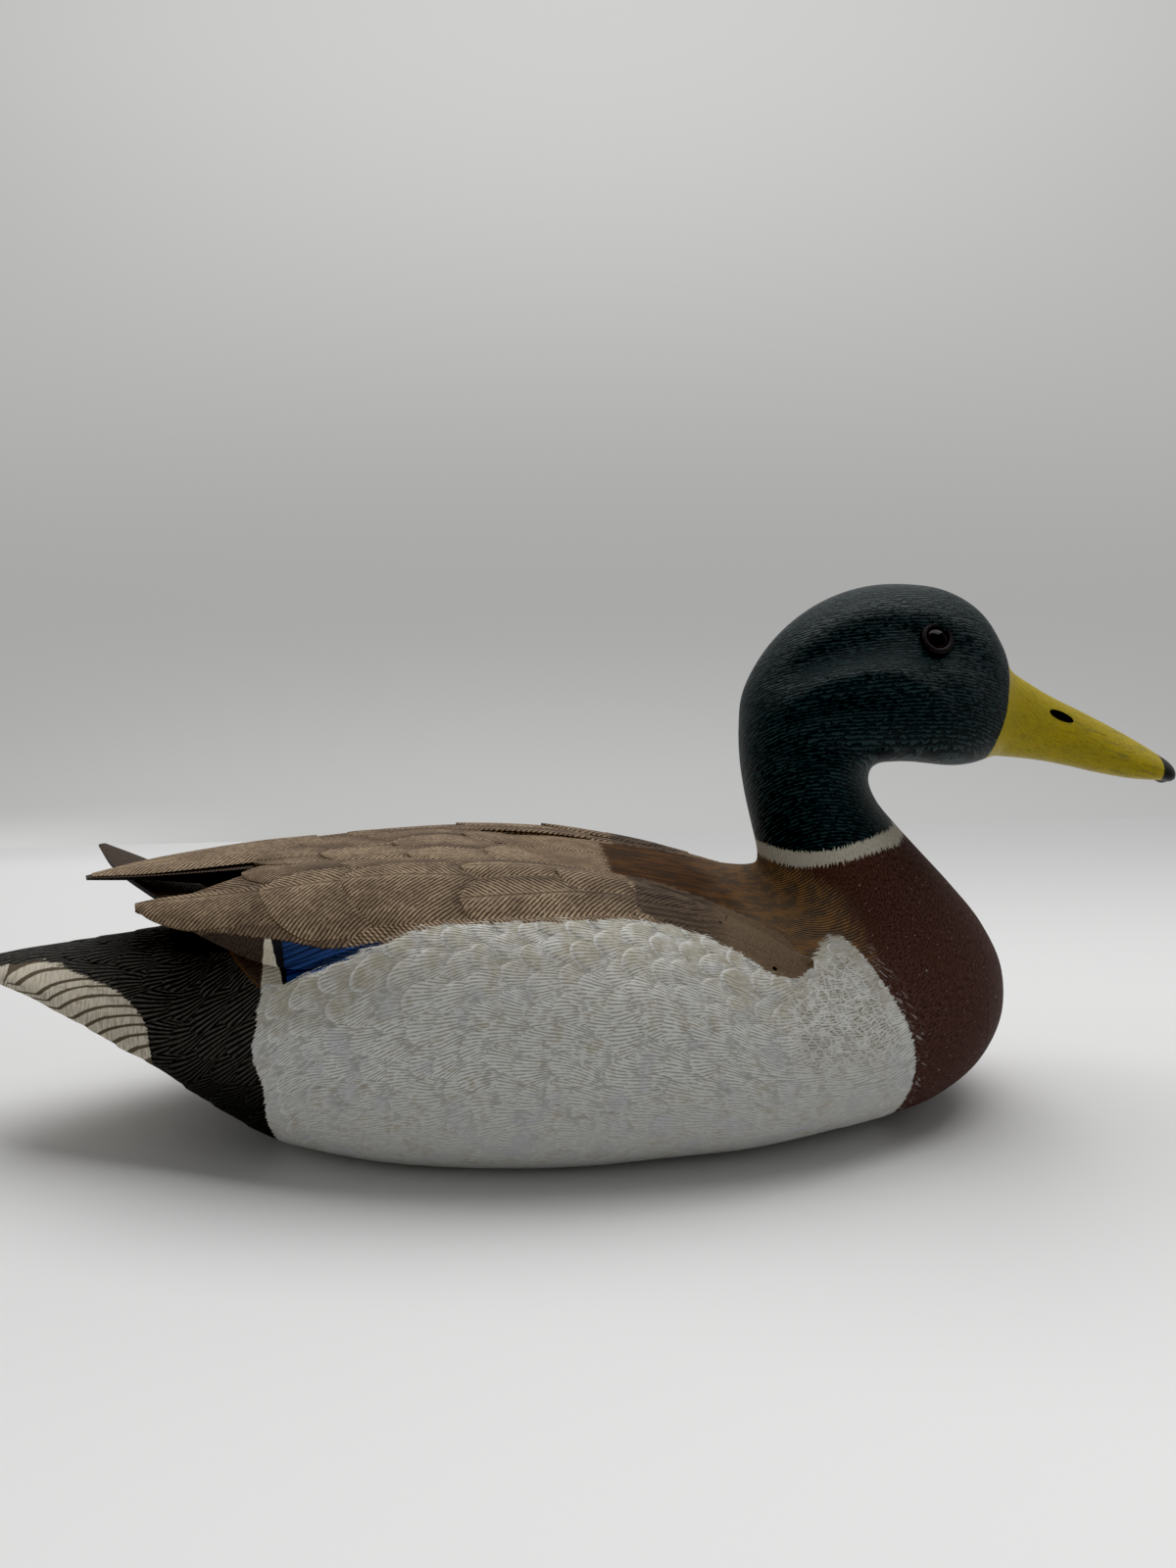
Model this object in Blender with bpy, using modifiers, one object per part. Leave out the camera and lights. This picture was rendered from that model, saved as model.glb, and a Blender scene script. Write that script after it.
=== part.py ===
"""A carved and painted mallard drake decoy: one wooden solid with two glass eyes set in it.

Metres, +Z up, +X towards the bill. The origin lies on the flat bottom, under the middle of the length.
The carving is one sweep from the tail tip to the bill tip. Its sections stand upright along the body, fan
round the back of the neck over the breast, climb the neck, and fan round the throat over the head.
"""

import math

import bmesh
import bpy
import numpy as np
from mathutils import Matrix, Vector
from mathutils.bvhtree import BVHTree

# Driving dimensions
LENGTH = 0.415  # tail tip to bill tip
HEIGHT = 0.183  # flat bottom to crown
BODY_WIDTH = 0.154
NECK_WIDTH = 0.052
HEAD_WIDTH = 0.0566
BILL_WIDTH = 0.0256
EYE_DIAMETER = 0.0105
EYE_CLEARANCE = 0.0003  # between the glass and its socket
EYE_INSET = 0.0028  # how far the middle of the glass lies inside the side of the head
LID_THICKNESS = 0.0020  # the carved ring round each eye
CHANNEL_DEPTH = 0.0040  # the hollow along the side of the head, in which the eye lies
WING_LIFT = 0.0028  # how far the folded wings stand proud along the back
WING_TUCK = 0.0012  # how far their lower edge lies under the flank
WING_THICKNESS = 0.0055
CAPE_LIFT = 0.0032  # the feathers that close the back between the wings
CORE_DEPTH = 0.030  # the wood under the wings, down into the rump
CORE_INSET = 0.0045  # how far it stands back from the edge of the wings
PRIMARY_THICKNESS = 0.0026
NOSTRIL_LENGTH = 0.0092
NOSTRIL_WIDTH = 0.0026

# The drawing is made on a grid 415 long, 183 high and 154 wide. These turn it into metres
ALONG = LENGTH / 415
UP = HEIGHT / 183
ACROSS = BODY_WIDTH / 154
MIDDLE = -2.5  # the middle of the length, on the grid

# Mesh density
STATIONS = 82
RING_SEGMENTS = 36
WING_STATIONS = 20
WING_STRIPS = 6
BLADE_STATIONS = 9
BLADE_STRIPS = 4

# Each section: the width it is a share of, lower point (x, z), upper point (x, z), half width as a share,
# place of the widest line from lower (0) to upper (1), fullness below and above it, and edge thickness
TAIL_SECTIONS = [
    (BODY_WIDTH, (-210, 57.0), (-210, 59.2), 0.020, 0.50, 2.0, 2.0, 0.4),
    (BODY_WIDTH, (-208.5, 56.0), (-208.5, 60.0), 0.078, 0.30, 2.0, 1.8, 1.0),
    (BODY_WIDTH, (-205, 55.7), (-205, 60.6), 0.130, 0.06, 2.0, 1.6, 1.6),
    (BODY_WIDTH, (-198, 55.0), (-198, 61.6), 0.200, -0.03, 2.0, 1.5, 2.2),
    (BODY_WIDTH, (-189, 53.8), (-189, 62.8), 0.266, -0.17, 2.0, 1.5, 2.4),
    (BODY_WIDTH, (-180, 50.5), (-180, 64.0), 0.331, -0.11, 2.0, 1.5, 2.4),
    (BODY_WIDTH, (-170, 45.0), (-170, 65.4), 0.396, 0.00, 2.0, 1.5, 2.4),
    (BODY_WIDTH, (-160, 37.5), (-160, 66.8), 0.455, 0.10, 2.1, 1.6, 2.2),
    (BODY_WIDTH, (-150, 28.5), (-150, 68.2), 0.503, 0.24, 2.2, 1.7, 1.6),
    (BODY_WIDTH, (-138, 17.0), (-138, 70.0), 0.569, 0.36, 2.3, 1.9, 0.8),
    (BODY_WIDTH, (-126, 8.0), (-126, 74.5), 0.643, 0.47, 2.5, 2.1, 0.2),
]
BODY_SECTIONS = [
    (BODY_WIDTH, (-112, 1.2), (-112, 83.0), 0.726, 0.50, 2.9, 2.4, 0.0),
    (BODY_WIDTH, (-98, -1.5), (-98, 89.8), 0.792, 0.48, 3.1, 2.5, 0.0),
    (BODY_WIDTH, (-80, -3.5), (-80, 93.4), 0.870, 0.47, 3.3, 2.45, 0.0),
    (BODY_WIDTH, (-50, -5.0), (-50, 94.6), 0.955, 0.475, 3.4, 2.35, 0.0),
    (BODY_WIDTH, (-15, -5.0), (-15, 93.0), 1.000, 0.475, 3.4, 2.3, 0.0),
    (BODY_WIDTH, (16, -4.5), (14, 88.0), 0.993, 0.480, 3.1, 2.25, 0.0),
    (BODY_WIDTH, (45, -4.0), (34, 83.8), 0.968, 0.480, 2.85, 2.1, 0.0),
]
BREAST_SECTIONS = [
    (BODY_WIDTH, (72, -1.5), (43, 82.6), 0.922, 0.475, 2.6, 2.0, 0.0),
    (BODY_WIDTH, (97, 1.0), (48.5, 82.2), 0.848, 0.48, 2.45, 1.95, 0.0),
    (BODY_WIDTH, (119, 6.0), (52, 82.4), 0.752, 0.48, 2.35, 1.95, 0.0),
    (BODY_WIDTH, (135.5, 16.8), (54.2, 83.0), 0.652, 0.48, 2.3, 1.95, 0.0),
    (BODY_WIDTH, (143.6, 31.5), (55.6, 84.0), 0.565, 0.475, 2.25, 1.95, 0.0),
    (BODY_WIDTH, (143.8, 47.0), (56.2, 85.6), 0.494, 0.48, 2.15, 2.0, 0.0),
    (BODY_WIDTH, (136.8, 62.2), (56.2, 87.6), 0.437, 0.49, 2.1, 2.0, 0.0),
    (BODY_WIDTH, (124.8, 77.0), (55.9, 90.4), 0.392, 0.50, 2.0, 2.0, 0.0),
]
NECK_SECTIONS = [
    (NECK_WIDTH, (113.9, 88.7), (55.0, 94.4), 1.070, 0.50, 2.0, 2.0, 0.0),
    (NECK_WIDTH, (104.9, 98.4), (53.2, 101.5), 1.015, 0.50, 2.0, 2.0, 0.0),
    (NECK_WIDTH, (97.6, 107.0), (51.0, 111.0), 0.990, 0.50, 2.0, 2.0, 0.0),
    (NECK_WIDTH, (93.8, 114.5), (49.2, 122.0), 0.985, 0.50, 2.0, 2.0, 0.0),
    (NECK_WIDTH, (94.0, 119.8), (48.6, 133.5), 0.995, 0.50, 2.0, 2.0, 0.0),
]
HEAD_SECTIONS = [
    (HEAD_WIDTH, (97.0, 122.0), (49.4, 144.5), 0.940, 0.50, 2.0, 2.0, 0.0),
    (HEAD_WIDTH, (102, 122.4), (53.8, 155.2), 0.965, 0.48, 2.1, 2.0, 0.0),
    (HEAD_WIDTH, (107.5, 122.1), (62.5, 166.8), 0.985, 0.46, 2.15, 2.0, 0.0),
    (HEAD_WIDTH, (113, 121.4), (75, 176.4), 1.000, 0.43, 2.2, 2.0, 0.0),
    (HEAD_WIDTH, (118, 120.8), (90, 182.0), 0.990, 0.40, 2.3, 2.05, 0.0),
    (HEAD_WIDTH, (123, 120.5), (105.3, 183.0), 0.950, 0.37, 2.3, 2.1, 0.0),
    (HEAD_WIDTH, (128, 120.9), (119.6, 180.6), 0.865, 0.36, 2.3, 2.1, 0.0),
    (HEAD_WIDTH, (132.5, 121.9), (131.2, 173.6), 0.740, 0.36, 2.3, 2.1, 0.0),
    (HEAD_WIDTH, (136, 122.8), (138.6, 163.2), 0.600, 0.37, 2.3, 2.1, 0.0),
]
BILL_SECTIONS = [
    (BILL_WIDTH, (139.5, 122.8), (143.4, 153.2), 1.010, 0.36, 2.3, 2.0, 0.0),
    (BILL_WIDTH, (147, 122.0), (151, 147.8), 0.860, 0.34, 2.4, 1.9, 0.0),
    (BILL_WIDTH, (155.5, 120.8), (160, 142.6), 0.800, 0.34, 2.5, 1.8, 0.0),
    (BILL_WIDTH, (165, 118.8), (169.5, 138.0), 0.810, 0.34, 2.6, 1.8, 0.0),
    (BILL_WIDTH, (176, 116.2), (180, 132.6), 0.900, 0.34, 2.6, 1.8, 0.0),
    (BILL_WIDTH, (187.5, 114.2), (190, 127.2), 1.000, 0.36, 2.6, 1.9, 0.0),
    (BILL_WIDTH, (196.5, 113.4), (197.6, 122.6), 0.960, 0.40, 2.4, 2.0, 0.0),
    (BILL_WIDTH, (202.3, 112.6), (202.9, 119.0), 0.700, 0.45, 2.2, 2.0, 0.0),
    (BILL_WIDTH, (204.6, 113.6), (205.0, 116.6), 0.270, 0.50, 2.0, 2.0, 0.0),
]

# The hollow along the side of the head: its middle line, how strong it is there, and its half height
CHANNEL_LINE = [(56, 151), (66, 159.5), (80, 166), (97, 169), (111, 166.5), (124, 160.5), (138, 149)]
CHANNEL_STRENGTH = [0.0, 0.55, 0.9, 1.0, 1.0, 0.5, 0.0]
CHANNEL_SPREAD = 6.5

EYE_AT = (111.0, 166.5)
NOSTRIL_AT = (160.5, 137.4)
NOSTRIL_SLOPE = -23.0  # degrees

# The height of the folded wings over the rump, and their outline seen from above, from shoulder to tip
WING_TOP = [(-170, 82.0), (-157, 84.0), (-142, 85.8), (-130, 88.0), (-115, 91.4), (-90, 93.2)]
WING_FULLNESS = [(-160, 3.1), (-142, 3.1), (-126, 2.8), (-113, 2.6), (-90, 2.5)]
WING_INNER = [(64, 52), (56, 45), (46, 39.5), (31, 31.5), (13, 25.5), (-5, 22.5), (-30, 20), (-66, 15),
              (-98, 9), (-122, 8), (-142, 12), (-157, 18.5)]
WING_OUTER = [(64, 55), (58, 60), (46, 61.5), (25, 59), (-5, 56), (-42, 55), (-66, 55), (-84, 55.5),
              (-98, 54.8), (-113, 52), (-125, 46.3), (-142, 33.6), (-157, 21.5)]
FREE_SPAN = (-85, -110)  # over which their lower edge comes out from under the flank
CORE_SPAN = (-78, -140)
CAPE_SPAN = (-20, -121)
CAPE_HALF_WIDTH = [(-121, 2), (-116, 9), (-104, 14), (-80, 19), (-50, 24), (-20, 26)]

# The primaries cross over the rump, the left ones on top. Each line runs from the root to the tip
LEFT_PRIMARIES = [(-98, 10, 92.8), (-118, 4, 92.2), (-137, 0, 91.5), (-156, -4, 91.0), (-173, -9, 90.2)]
RIGHT_PRIMARIES = [(-116, -24, 78.0), (-134, -11, 80.4), (-149, 3, 84.0), (-162, 14, 88.4), (-173, 24, 92.6)]
PRIMARY_HALF_WIDTHS = [11.5, 11.5, 10.0, 7.5, 1.6]
LEFT_ROLL = 2.0  # degrees
RIGHT_ROLL = -6.0

WOOD = (0.42, 0.36, 0.29, 1.0)
GLASS = (0.02, 0.012, 0.008, 1.0)


def smooth_through(knots, values, at):
    """A smooth curve through the values at uneven knots, read at the places asked."""
    knots = np.asarray(knots, float)
    values = np.asarray(values, float).reshape(len(knots), -1)
    gaps = np.diff(knots)[:, None]
    slopes = np.diff(values, axis=0) / gaps
    tangents = np.empty_like(values)
    tangents[0], tangents[-1] = slopes[0], slopes[-1]
    tangents[1:-1] = (slopes[:-1] * gaps[1:] + slopes[1:] * gaps[:-1]) / (gaps[:-1] + gaps[1:])
    at = np.atleast_1d(np.asarray(at, float))
    place = np.clip(np.searchsorted(knots, at, side="right") - 1, 0, len(gaps) - 1)
    gap = gaps[place]
    t = (at - knots[place])[:, None] / gap
    return (
        (2 * t**3 - 3 * t**2 + 1) * values[place]
        + (t**3 - 2 * t**2 + t) * gap * tangents[place]
        + (3 * t**2 - 2 * t**3) * values[place + 1]
        + (t**3 - t**2) * gap * tangents[place + 1]
    )


def read_curve(points, x):
    """The second value of a smooth curve of points at one x."""
    points = np.array(sorted(points), float)
    return float(smooth_through(points[:, 0], points[:, 1], x)[0, 0])


def sections():
    """Every section of the sweep in metres, with its shares."""
    rear = TAIL_SECTIONS + BODY_SECTIONS + BREAST_SECTIONS
    rows = []
    for group in (rear, NECK_SECTIONS, HEAD_SECTIONS, BILL_SECTIONS):
        for width, low, high, share, widest, full_low, full_high, edge in group:
            half_width = width / 2 * share
            lower = (low[0] * ALONG, low[1] * UP)
            upper = (high[0] * ALONG, high[1] * UP)
            rows.append((*lower, *upper, half_width, widest, full_low, full_high, edge * UP))
    return np.array(rows)


def stations(rows, count):
    """The sections, read smoothly at places evenly spaced along the longer side of the sweep."""
    lower = np.linalg.norm(np.diff(rows[:, 0:2], axis=0), axis=1)
    upper = np.linalg.norm(np.diff(rows[:, 2:4], axis=0), axis=1)
    knots = np.concatenate([[0], np.cumsum(np.maximum(lower, upper))])
    return smooth_through(knots, rows, np.linspace(0, knots[-1], count))


def channel(x, z):
    """How deep the hollow is at a point of the side of the head."""
    line = np.array(CHANNEL_LINE, float)
    middle = np.interp(x / ALONG, line[:, 0], line[:, 1])
    strength = np.interp(x / ALONG, line[:, 0], CHANNEL_STRENGTH, left=0, right=0)
    return CHANNEL_DEPTH * strength * math.exp(-(((z / UP - middle) / CHANNEL_SPREAD) ** 2))


def ring_points(row, count):
    """The closed outline of one section, from the lower point up the right side and down the left."""
    low, high = np.array(row[0:2]), np.array(row[2:4])
    half_width, widest, full_low, full_high, edge = row[4:9]
    points = []
    for angle in np.linspace(-math.pi / 2, 1.5 * math.pi, count, endpoint=False):
        is_upper = math.sin(angle) > -1e-9
        power = 2 / (full_high if is_upper else full_low)
        rise = abs(math.sin(angle)) ** power
        side = abs(math.cos(angle)) ** power * half_width
        share = widest + (1 - widest) * rise if is_upper else widest * (1 - rise)
        x, z = low + (high - low) * share
        z += (edge if is_upper else -edge) / 2 * abs(math.cos(angle))
        if z > low[1] and side > half_width / 2:
            side -= channel(x, z)
        points.append((x, -math.copysign(side, math.cos(angle)), z))
    return points


def sweep_mesh(rows, count, ring):
    """A closed skin over the sections, with a pole at each end."""
    mesh = bmesh.new()
    loops = [[mesh.verts.new(p) for p in ring_points(row, ring)] for row in stations(rows, count)]
    for a, b in zip(loops, loops[1:]):
        for i in range(ring):
            mesh.faces.new((a[i], a[(i + 1) % ring], b[(i + 1) % ring], b[i]))
    for loop in (loops[0], loops[-1]):
        pole = mesh.verts.new(sum((v.co for v in loop), Vector()) / ring)
        for i in range(ring):
            mesh.faces.new((loop[i], loop[(i + 1) % ring], pole))
    bmesh.ops.recalc_face_normals(mesh, faces=mesh.faces)
    return mesh


def plane_flat(mesh):
    """Planes the bottom flat at the height of the origin, so that the decoy stands."""
    everything = mesh.verts[:] + mesh.edges[:] + mesh.faces[:]
    up = (0, 0, 1)
    cut = bmesh.ops.bisect_plane(mesh, geom=everything, plane_co=(0, 0, 0), plane_no=up, clear_inner=True)
    rim = [part for part in cut["geom_cut"] if isinstance(part, bmesh.types.BMEdge)]
    bmesh.ops.holes_fill(mesh, edges=rim)
    bmesh.ops.recalc_face_normals(mesh, faces=mesh.faces)


def wing_bulk():
    """The sweep with its back raised over the rump: the form that the folded wings lie on."""
    rows = sections()
    for row in rows:
        if row[2] < WING_TOP[-1][0] * ALONG:
            row[3] = read_curve(WING_TOP, row[2] / ALONG) * UP
            row[7] = read_curve(WING_FULLNESS, row[2] / ALONG)
    mesh = sweep_mesh(rows, STATIONS * 2, RING_SEGMENTS * 2)
    tree = BVHTree.FromBMesh(mesh)
    mesh.free()
    return tree


def height_on(tree, x, y):
    """The height of a form above a place on the plan."""
    return tree.ray_cast(Vector((x, y, 2 * HEIGHT)), Vector((0, 0, -1)))[0].z


def collection(name):
    made = bpy.data.collections.new(name)
    bpy.context.scene.collection.children.link(made)
    return made


def material(name, colour, roughness):
    made = bpy.data.materials.new(name)
    made.use_nodes = True
    shader = made.node_tree.nodes["Principled BSDF"]
    shader.inputs["Base Color"].default_value = colour
    shader.inputs["Roughness"].default_value = roughness
    return made


def piece(name, mesh, where):
    """Makes an object of a bmesh and puts it in a collection."""
    data = bpy.data.meshes.new(name)
    mesh.to_mesh(data)
    mesh.free()
    made = bpy.data.objects.new(name, data)
    where.objects.link(made)
    return made


def helper(name, mesh, where):
    """A shape that is joined to the carving or cut from it, and isn't a piece of its own."""
    made = piece(name, mesh, where)
    made.hide_render = True
    made.display_type = "WIRE"
    return made


def sheet(name, rows, thickness, where):
    """A curved sheet through rows of points, thickened downwards."""
    mesh = bmesh.new()
    verts = [[mesh.verts.new(p) for p in row] for row in rows]
    for a, b in zip(verts, verts[1:]):
        for i in range(len(a) - 1):
            mesh.faces.new((a[i], a[i + 1], b[i + 1], b[i]))
    mesh.normal_update()
    if sum(face.normal.z for face in mesh.faces) < 0:
        bmesh.ops.reverse_faces(mesh, faces=mesh.faces)
    made = helper(name, mesh, where)
    solid = made.modifiers.new("thickness", "SOLIDIFY")
    solid.thickness = thickness
    solid.offset = -1
    return made


def wing_lift(x, share):
    """How far a wing stands off the bulk: proud along the back, tucked in below, free over the rump."""
    front, rear = FREE_SPAN
    free = min(1.0, max(0.0, (front - x) / (front - rear)))
    tucked = WING_LIFT - (WING_LIFT + WING_TUCK) * share**2
    return tucked + (WING_LIFT / 3 - tucked) * free


def wing(name, side, tree, where):
    """One folded wing, draped over the bulk from its shoulder to the tips of its tertials."""
    rows = []
    for x in np.linspace(WING_INNER[0][0], WING_INNER[-1][0], WING_STATIONS):
        inner, outer = read_curve(WING_INNER, x), read_curve(WING_OUTER, x)
        row = []
        for share in np.linspace(0, 1, WING_STRIPS + 1):
            y = (inner + (outer - inner) * share) * ACROSS * side
            row.append((x * ALONG, y, height_on(tree, x * ALONG, y) + wing_lift(x, share)))
        rows.append(row)
    return sheet(name, rows, WING_THICKNESS, where)


def wing_core(name, side, tree, where):
    """The wood that carries the rear of a wing, set back from its edges."""
    rows = []
    for x in np.linspace(*CORE_SPAN, 8):
        inner = read_curve(WING_INNER, x) * ACROSS + CORE_INSET
        outer = read_curve(WING_OUTER, x) * ACROSS - CORE_INSET
        row = []
        for share in np.linspace(0, 1, 4):
            y = (inner + (outer - inner) * share) * side
            row.append((x * ALONG, y, height_on(tree, x * ALONG, y) - WING_THICKNESS / 3))
        rows.append(row)
    return sheet(name, rows, CORE_DEPTH, where)


def cape(name, tree, where):
    """The feathers of the mantle that close the back between the wings."""
    front, rear = CAPE_SPAN
    rows = []
    for x in np.linspace(front, rear, 15):
        lift = CAPE_LIFT * min(1.0, (front - x) / 35) - WING_TUCK
        half_width = read_curve(CAPE_HALF_WIDTH, x) * ACROSS
        row = []
        for share in np.linspace(-1, 1, 9):
            y = share * half_width
            row.append((x * ALONG, y, height_on(tree, x * ALONG, y) + lift))
        rows.append(row)
    return sheet(name, rows, WING_THICKNESS, where)


def primaries(name, line, roll, where):
    """A blade of primary feathers: a thin sheet along a line, rolled about it, with a rounded tip."""
    line = np.array(line, float)
    places = 1 - (1 - np.linspace(0, 1, BLADE_STATIONS)) ** 1.5
    middle = smooth_through(np.linspace(0, 1, len(line)), line, places)
    half_widths = smooth_through(np.linspace(0, 1, len(line)), PRIMARY_HALF_WIDTHS, places)[:, 0]
    ahead = Vector(line[-1] - line[0]).normalized()
    across = ahead.cross(Vector((0, 0, 1))).normalized()
    tilt = math.tan(math.radians(roll))
    rows = []
    for point, half_width in zip(middle, half_widths):
        row = []
        for share in np.linspace(-1, 1, BLADE_STRIPS + 1):
            out = across * share * half_width
            height = point[2] + (1 - share**2) * half_width * 0.12 + out.y * tilt
            row.append(((point[0] + out.x) * ALONG, (point[1] + out.y) * ACROSS, height * UP))
        rows.append(row)
    return sheet(name, rows, PRIMARY_THICKNESS, where)


def side_of_head(tree, x, z, side):
    """The point of the skin at a place of the side view, and which way it faces."""
    start = Vector((x * ALONG, side * BODY_WIDTH, z * UP))
    point, normal, _, _ = tree.ray_cast(start, Vector((0, -side, 0)))
    return point, normal


def ball(radius, segments, rings):
    mesh = bmesh.new()
    bmesh.ops.create_uvsphere(mesh, u_segments=segments, v_segments=rings, radius=radius)
    return mesh


def eyelid(name, point, normal, where):
    """The carved ring round an eye."""
    turn = normal.to_track_quat("Z", "X").to_matrix().to_4x4()
    major = math.sqrt((EYE_DIAMETER / 2) ** 2 - EYE_INSET**2) + LID_THICKNESS * 0.15
    mesh = bmesh.new()
    loops = []
    for around in np.linspace(0, 2 * math.pi, 20, endpoint=False):
        loop = []
        for about in np.linspace(0, 2 * math.pi, 8, endpoint=False):
            reach = major + LID_THICKNESS / 2 * math.cos(about)
            height = LID_THICKNESS / 2 * math.sin(about)
            loop.append(mesh.verts.new((reach * math.cos(around), reach * math.sin(around), height)))
        loops.append(loop)
    for a, b in zip(loops, loops[1:] + loops[:1]):
        for i in range(8):
            mesh.faces.new((a[i], a[(i + 1) % 8], b[(i + 1) % 8], b[i]))
    bmesh.ops.recalc_face_normals(mesh, faces=mesh.faces)
    mesh.transform(Matrix.Translation(point) @ turn)
    return helper(name, mesh, where)


def nostril(name, point, where):
    """The cutter for one nostril, a slot along the side of the bill."""
    mesh = ball(0.5, 14, 8)
    mesh.transform(Matrix.Diagonal((NOSTRIL_LENGTH, NOSTRIL_WIDTH * 1.6, NOSTRIL_WIDTH, 1)))
    mesh.transform(Matrix.Rotation(math.radians(-NOSTRIL_SLOPE), 4, "Y"))
    mesh.transform(Matrix.Translation(point))
    return helper(name, mesh, where)


def boolean(obj, other, operation):
    made = obj.modifiers.new(other.name, "BOOLEAN")
    made.operation = operation
    made.solver = "EXACT"
    made.object = other


def apply_all(obj):
    """Replaces an object's mesh by what its modifiers make."""
    graph = bpy.context.evaluated_depsgraph_get()
    made = bpy.data.meshes.new_from_object(obj.evaluated_get(graph))
    obj.modifiers.clear()
    obj.data = made


def build():
    for old in list(bpy.data.objects):
        bpy.data.objects.remove(old, do_unlink=True)
    pieces, helpers = collection("duck_decoy"), collection("helpers")

    skin = sweep_mesh(sections(), STATIONS, RING_SEGMENTS)
    tree = BVHTree.FromBMesh(skin)
    plane_flat(skin)
    duck = piece("carved_duck", skin, pieces)
    duck.data.materials.append(material("painted_wood", WOOD, 0.7))
    glass = material("glass_eye", GLASS, 0.05)

    bulk = wing_bulk()
    added = [cape("cape", bulk, helpers)]
    for word, side in (("right", -1), ("left", 1)):
        added.append(wing_core(f"core_{word}", side, bulk, helpers))
        added.append(wing(f"wing_{word}", side, bulk, helpers))
    added.append(primaries("primaries_right", RIGHT_PRIMARIES, RIGHT_ROLL, helpers))
    added.append(primaries("primaries_left", LEFT_PRIMARIES, LEFT_ROLL, helpers))

    removed = []
    for word, side in (("right", -1), ("left", 1)):
        point, normal = side_of_head(tree, *EYE_AT, side)
        middle = point - normal * EYE_INSET
        added.append(eyelid(f"lid_{word}", point, normal, helpers))
        mesh = ball(EYE_DIAMETER / 2 + EYE_CLEARANCE, 18, 10)
        mesh.transform(Matrix.Translation(middle))
        removed.append(helper(f"socket_{word}", mesh, helpers))
        mesh = ball(EYE_DIAMETER / 2, 18, 10)
        mesh.transform(Matrix.Translation(middle))
        eye = piece(f"eye_{word}", mesh, pieces)
        eye.data.materials.append(glass)
        eye.data.shade_smooth()
        point, _ = side_of_head(tree, *NOSTRIL_AT, side)
        removed.append(nostril(f"nostril_{word}", point, helpers))

    for shape in added:
        boolean(duck, shape, "UNION")
    for shape in removed:
        boolean(duck, shape, "DIFFERENCE")
    apply_all(duck)
    for made in pieces.objects:
        made.data.transform(Matrix.Translation((-MIDDLE * ALONG, 0, 0)))
    duck.data.shade_smooth()
    duck.data.set_sharp_from_angle(angle=math.radians(35))


build()
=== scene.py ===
"""The looks of the duck decoy: a carved mallard drake with burned feather strokes, painted, with glass eyes.

Lengths are in millimetres until a mesh is made, +X towards the bill, +Z up. The carving is the same sweep
as the CAD solid, made finer, with the feathers laid on it and joined to it as one closed mesh.
"""

import math

import bmesh
import bpy
import numpy as np
from mathutils import Matrix, Vector
from mathutils.bvhtree import BVHTree


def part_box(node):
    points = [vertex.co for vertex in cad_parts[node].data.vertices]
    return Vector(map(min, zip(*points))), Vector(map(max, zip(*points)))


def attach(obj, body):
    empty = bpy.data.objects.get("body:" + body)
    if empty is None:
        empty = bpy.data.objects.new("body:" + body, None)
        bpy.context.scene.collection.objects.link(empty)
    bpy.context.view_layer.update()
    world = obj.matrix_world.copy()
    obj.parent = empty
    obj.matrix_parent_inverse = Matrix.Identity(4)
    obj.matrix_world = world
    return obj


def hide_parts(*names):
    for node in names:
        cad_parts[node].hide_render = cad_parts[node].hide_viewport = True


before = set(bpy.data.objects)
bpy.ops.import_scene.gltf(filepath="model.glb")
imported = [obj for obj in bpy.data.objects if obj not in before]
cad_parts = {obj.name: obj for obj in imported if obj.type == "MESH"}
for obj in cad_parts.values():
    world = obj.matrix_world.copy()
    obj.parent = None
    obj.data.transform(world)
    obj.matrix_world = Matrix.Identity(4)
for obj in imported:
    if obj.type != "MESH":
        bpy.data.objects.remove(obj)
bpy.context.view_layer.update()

MM = 0.001
MIDDLE = -2.5  # the middle of the length on the drawing grid
HEIGHT = 183
HALF_RING = 92  # faces up one side of a section
SPACING = [(0, 2.2), (10, 1.85), (20, 1.85), (25, 2.1), (28, 2.0), (34, 1.7), (48, 1.5)]  # section, mm

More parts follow.
